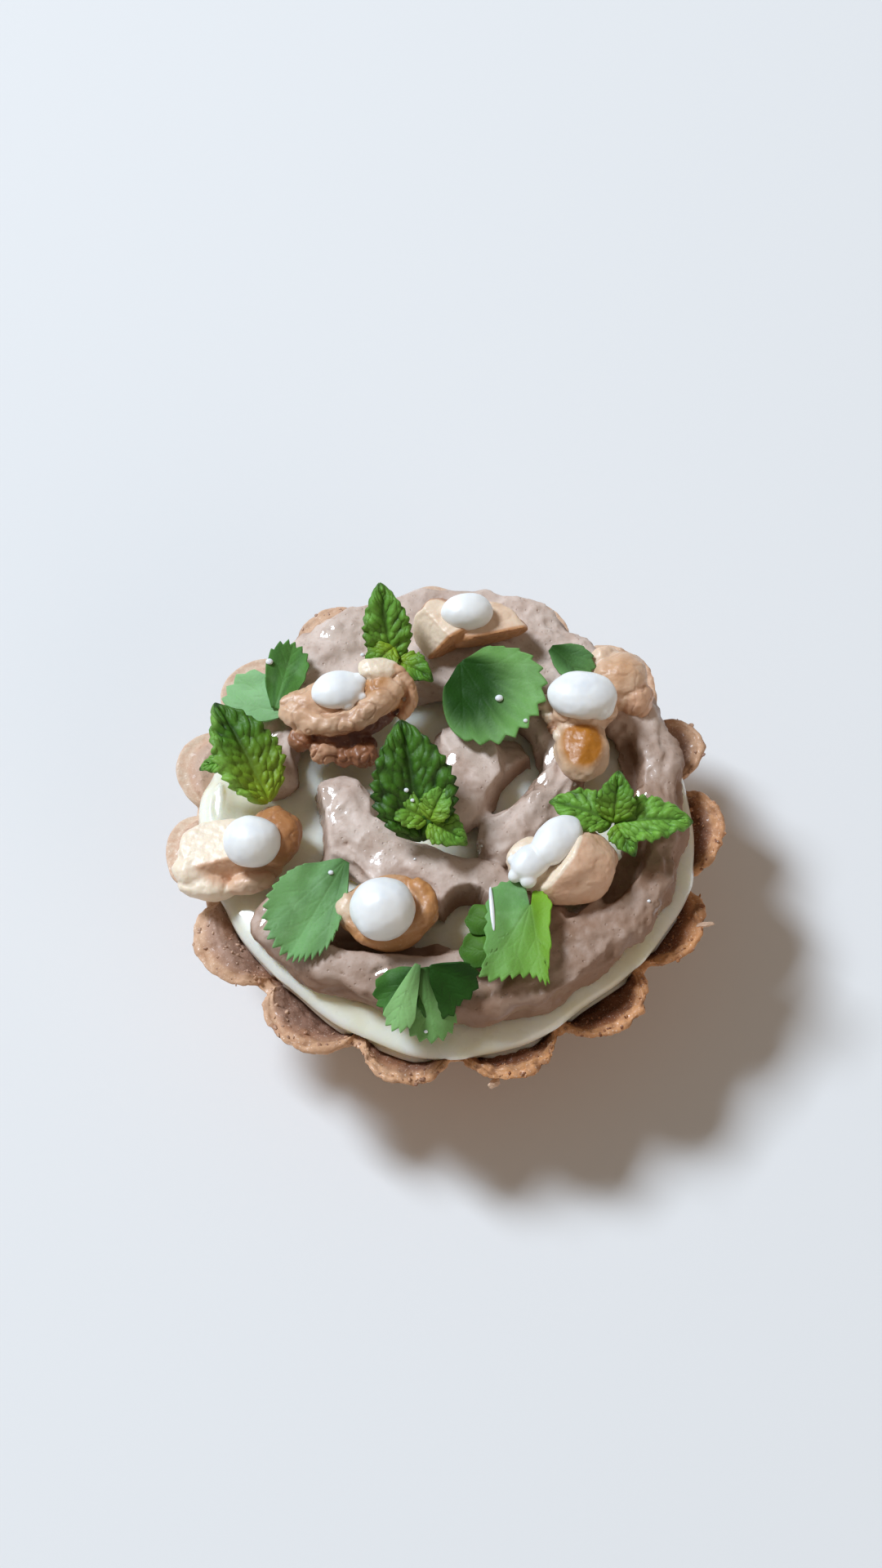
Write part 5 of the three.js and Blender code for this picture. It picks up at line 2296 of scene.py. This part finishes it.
@dataclass
class Coriander:
    """Six coriander leaves."""

    leaves: tuple[tuple[CorianderBlade, ...], ...] = CORIANDER_LEAVES

    def build(self) -> list[Piece]:
        """Makes the leaves one by one."""
        return leaves_built(self.leaves, CORIANDER_GREEN, Slot.CORIANDER, "coriander_leaf")


# ---- small things


def toned(skin: Skin, **tones: float) -> Skin:
    """Gives every corner of a skin the same named numbers.

    Args:
        skin: The skin.
        tones: The numbers by name.

    Returns:
        The same skin.
    """
    skin.values = {name: np.full(len(skin.points), tone) for name, tone in tones.items()}
    return skin


@dataclass
class Crumbs:
    """Loose crumbs on the shell's petals and along its rim."""

    shell: Shell
    flakes: tuple[Lump, ...] = (
        Lump((34.9, -14.4, 20), (1.1, 0.35, 0.3), 8), Lump((6.5, -36.7, 18.8), (0.8, 0.5, 0.35), 30),
        Lump((-12.4, 32.6, 21.4), (1.6, 0.8, 0.6), 25), Lump((-16.4, 31.2, 21.2), (1.2, 0.7, 0.5), 40),
    )
    count: int = 300
    seed: int = 5

    def build(self, carrier: Piece) -> None:
        """Scatters uneven grains over the baked petals and lays the flakes.

        Args:
            carrier: The finished shell.
        """
        draw = np.random.default_rng(self.seed)
        mesh = carrier.data
        points, normals = read_points(mesh), read_normals(mesh)
        inside, warm = read_value(mesh, "inside"), read_value(mesh, "warm")
        high = (inside > 0.4) & (points[:, 2] > 18) & (normals[:, 2] > 0.1) & (warm > 0.3)
        skins = []
        for k, pick in enumerate(draw.choice(np.flatnonzero(high), self.count, replace=False)):
            size = draw.uniform(0.1, 0.3) * np.array([1.2, draw.uniform(0.5, 1), draw.uniform(0.4, 0.7)])
            at = points[pick] + normals[pick] * 0.3 * size[2]
            grain = Lump(tuple(at), tuple(size), draw.uniform(0, 180)).skin_form(0.7, 200 + k, 5, 8)
            pale = draw.uniform(0, 0.9)
            # Each grain takes the painted shade and baking of the petal it lies on.
            skins.append(toned(grain, inside=1.0, rim=pale, deep=0.0, warm=warm[pick], pit=0.0))
        for k, flake in enumerate(self.flakes):
            form = flake.skin_form(0.5, 600 + k, 12, 18)
            skins.append(toned(form, inside=1.0, rim=1.0, deep=0.0, warm=0.3, pit=0.0))
        dress(joined(skins).built("loose_crumbs"), mesh.materials[0], [])


@dataclass
class Dew:
    """Small beads of water on the leaves and the mousse, and one streak, near white as painted highlights.

    Attributes:
        beads: (x, y, radius) of each bead.
        streak: The long narrow drop on a leaf's edge.
    """

    beads: tuple[Place, ...] = (
        (-23.7, 20, 0.5), (7.4, 14.4, 0.55), (10.9, 10.7, 0.32), (-11.2, 23.2, 0.3), (-5, -1.5, 0.34),
        (-4.2, -2.7, 0.28), (-14.9, -11.6, 0.36), (-2.4, -32.4, 0.26), (27, -13.8, 0.24), (17.4, 3.7, 0.34),
        (19.3, 3.7, 0.28), (19.5, 2.4, 0.26), (19.9, 1.6, 0.24), (-3.9, -8.6, 0.2), (5, -5.8, 0.2),
    )
    streak: Lump = Lump((6.2, -16.9, 30.3), (0.32, 3.2, 0.3), 4)

    def build(self, carriers: Iterable[Piece]) -> None:
        """Sets each bead on whatever lies under it, flattened against it.

        Args:
            carriers: The pieces that may lie under a bead.
        """
        tree = seat_tree(carriers)
        skins = []
        for number, (x, y, radius) in enumerate(self.beads):
            spot = standing_on(tree, x, y)
            bead = Lump((x, y, spot.z + 0.3 * radius), (radius, radius * 0.9, radius * 0.7))
            skins.append(bead.skin_form(0.05, 300 + number, 20, 32))
        skins.append(self.streak.skin_form(0.05, 320, 40, 32))
        dew = joined(skins).built("dew_beads")
        dress(dew, PaintedSparkleDew().material(), [])


# ---- the studio


@dataclass
class Studio:
    """A pale floor, a window's worth of light from the back left, and the camera."""

    camera_place: Place = (-0.443, -197.014, 413.428)
    camera_down: float = 62.62
    lens: float = 74.5
    light_way: Place = (-0.7, 0.47, 1.0)
    light_distance: float = 2500.0
    light_width: float = 530.0
    light_power: float = 71.5
    light_colour: Colour = (0.78, 0.885, 1.0)
    sky: Colour = (1.0, 0.87, 0.74)
    sky_strength: float = 0.225
    fill_way: Place = (0.75, -0.8, 0.42)
    fill_power: float = 10.0
    floor_half: float = 1500.0

    def build(self) -> None:
        """Makes the floor, the camera, the two lamps and the sky."""
        corners = self.floor_half * np.array([[-1, -1, 0], [1, -1, 0], [1, 1, 0], [-1, 1, 0]])
        floor = Skin(corners, [np.array([[0, 1, 2, 3]])]).built("pale_floor")
        floor.data.materials.append(PaleFloor().material())

        scene = bpy.context.scene
        camera = bpy.data.objects.new("camera", bpy.data.cameras.new("camera"))
        scene.collection.objects.link(camera)
        camera.location = [part * MM for part in self.camera_place]
        camera.rotation_euler = (math.radians(90 - self.camera_down), 0, 0)
        camera.data.lens = self.lens
        camera.data.clip_start = 0.01
        scene.camera = camera

        self.lamp("window", self.light_way, self.light_power, self.light_colour, self.light_width)
        self.lamp("room", self.fill_way, self.fill_power, self.sky, 3 * self.light_width)

        world = bpy.data.worlds.new("sky")
        scene.world = world
        world.use_nodes = True
        background = world.node_tree.nodes["Background"]
        background.inputs["Color"].default_value = (*self.sky, 1.0)
        background.inputs["Strength"].default_value = self.sky_strength
        scene.view_settings.view_transform = "Standard"
        scene.view_settings.look = "None"

    def lamp(self, name: str, way: Place, power: float, colour: Colour, width: float) -> None:
        """Hangs an area lamp that shines at the middle of the scene.

        Args:
            name: Its name.
            way: Which way it lies from the middle.
            power: In watts.
            colour: Its light.
            width: Its width. It is a quarter taller.
        """
        hung = bpy.data.objects.new(name, bpy.data.lights.new(name, "AREA"))
        bpy.context.scene.collection.objects.link(hung)
        toward = Vector(way).normalized()
        hung.location = toward * self.light_distance * MM
        hung.rotation_euler = toward.to_track_quat("Z", "Y").to_euler()
        hung.data.shape = "RECTANGLE"
        hung.data.size, hung.data.size_y = width * MM, 1.25 * width * MM
        hung.data.energy, hung.data.color = power, colour


def main() -> None:
    """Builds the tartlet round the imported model."""
    logging.basicConfig(level=logging.INFO, format="%(name)s %(message)s")
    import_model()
    Studio().build()
    shell = Shell()
    cream = Cream(shell)
    baked = shell.build()
    poured = cream.build()
    piped = Mousse(cream).build()
    Walnuts().build()
    Drops().build()
    leaves = Coriander().build() + Mint().build()
    Crumbs(shell).build(baked)
    Dew().build([*leaves, poured, piped])
    bpy.context.view_layer.update()


if __name__ == "__main__":
    main()
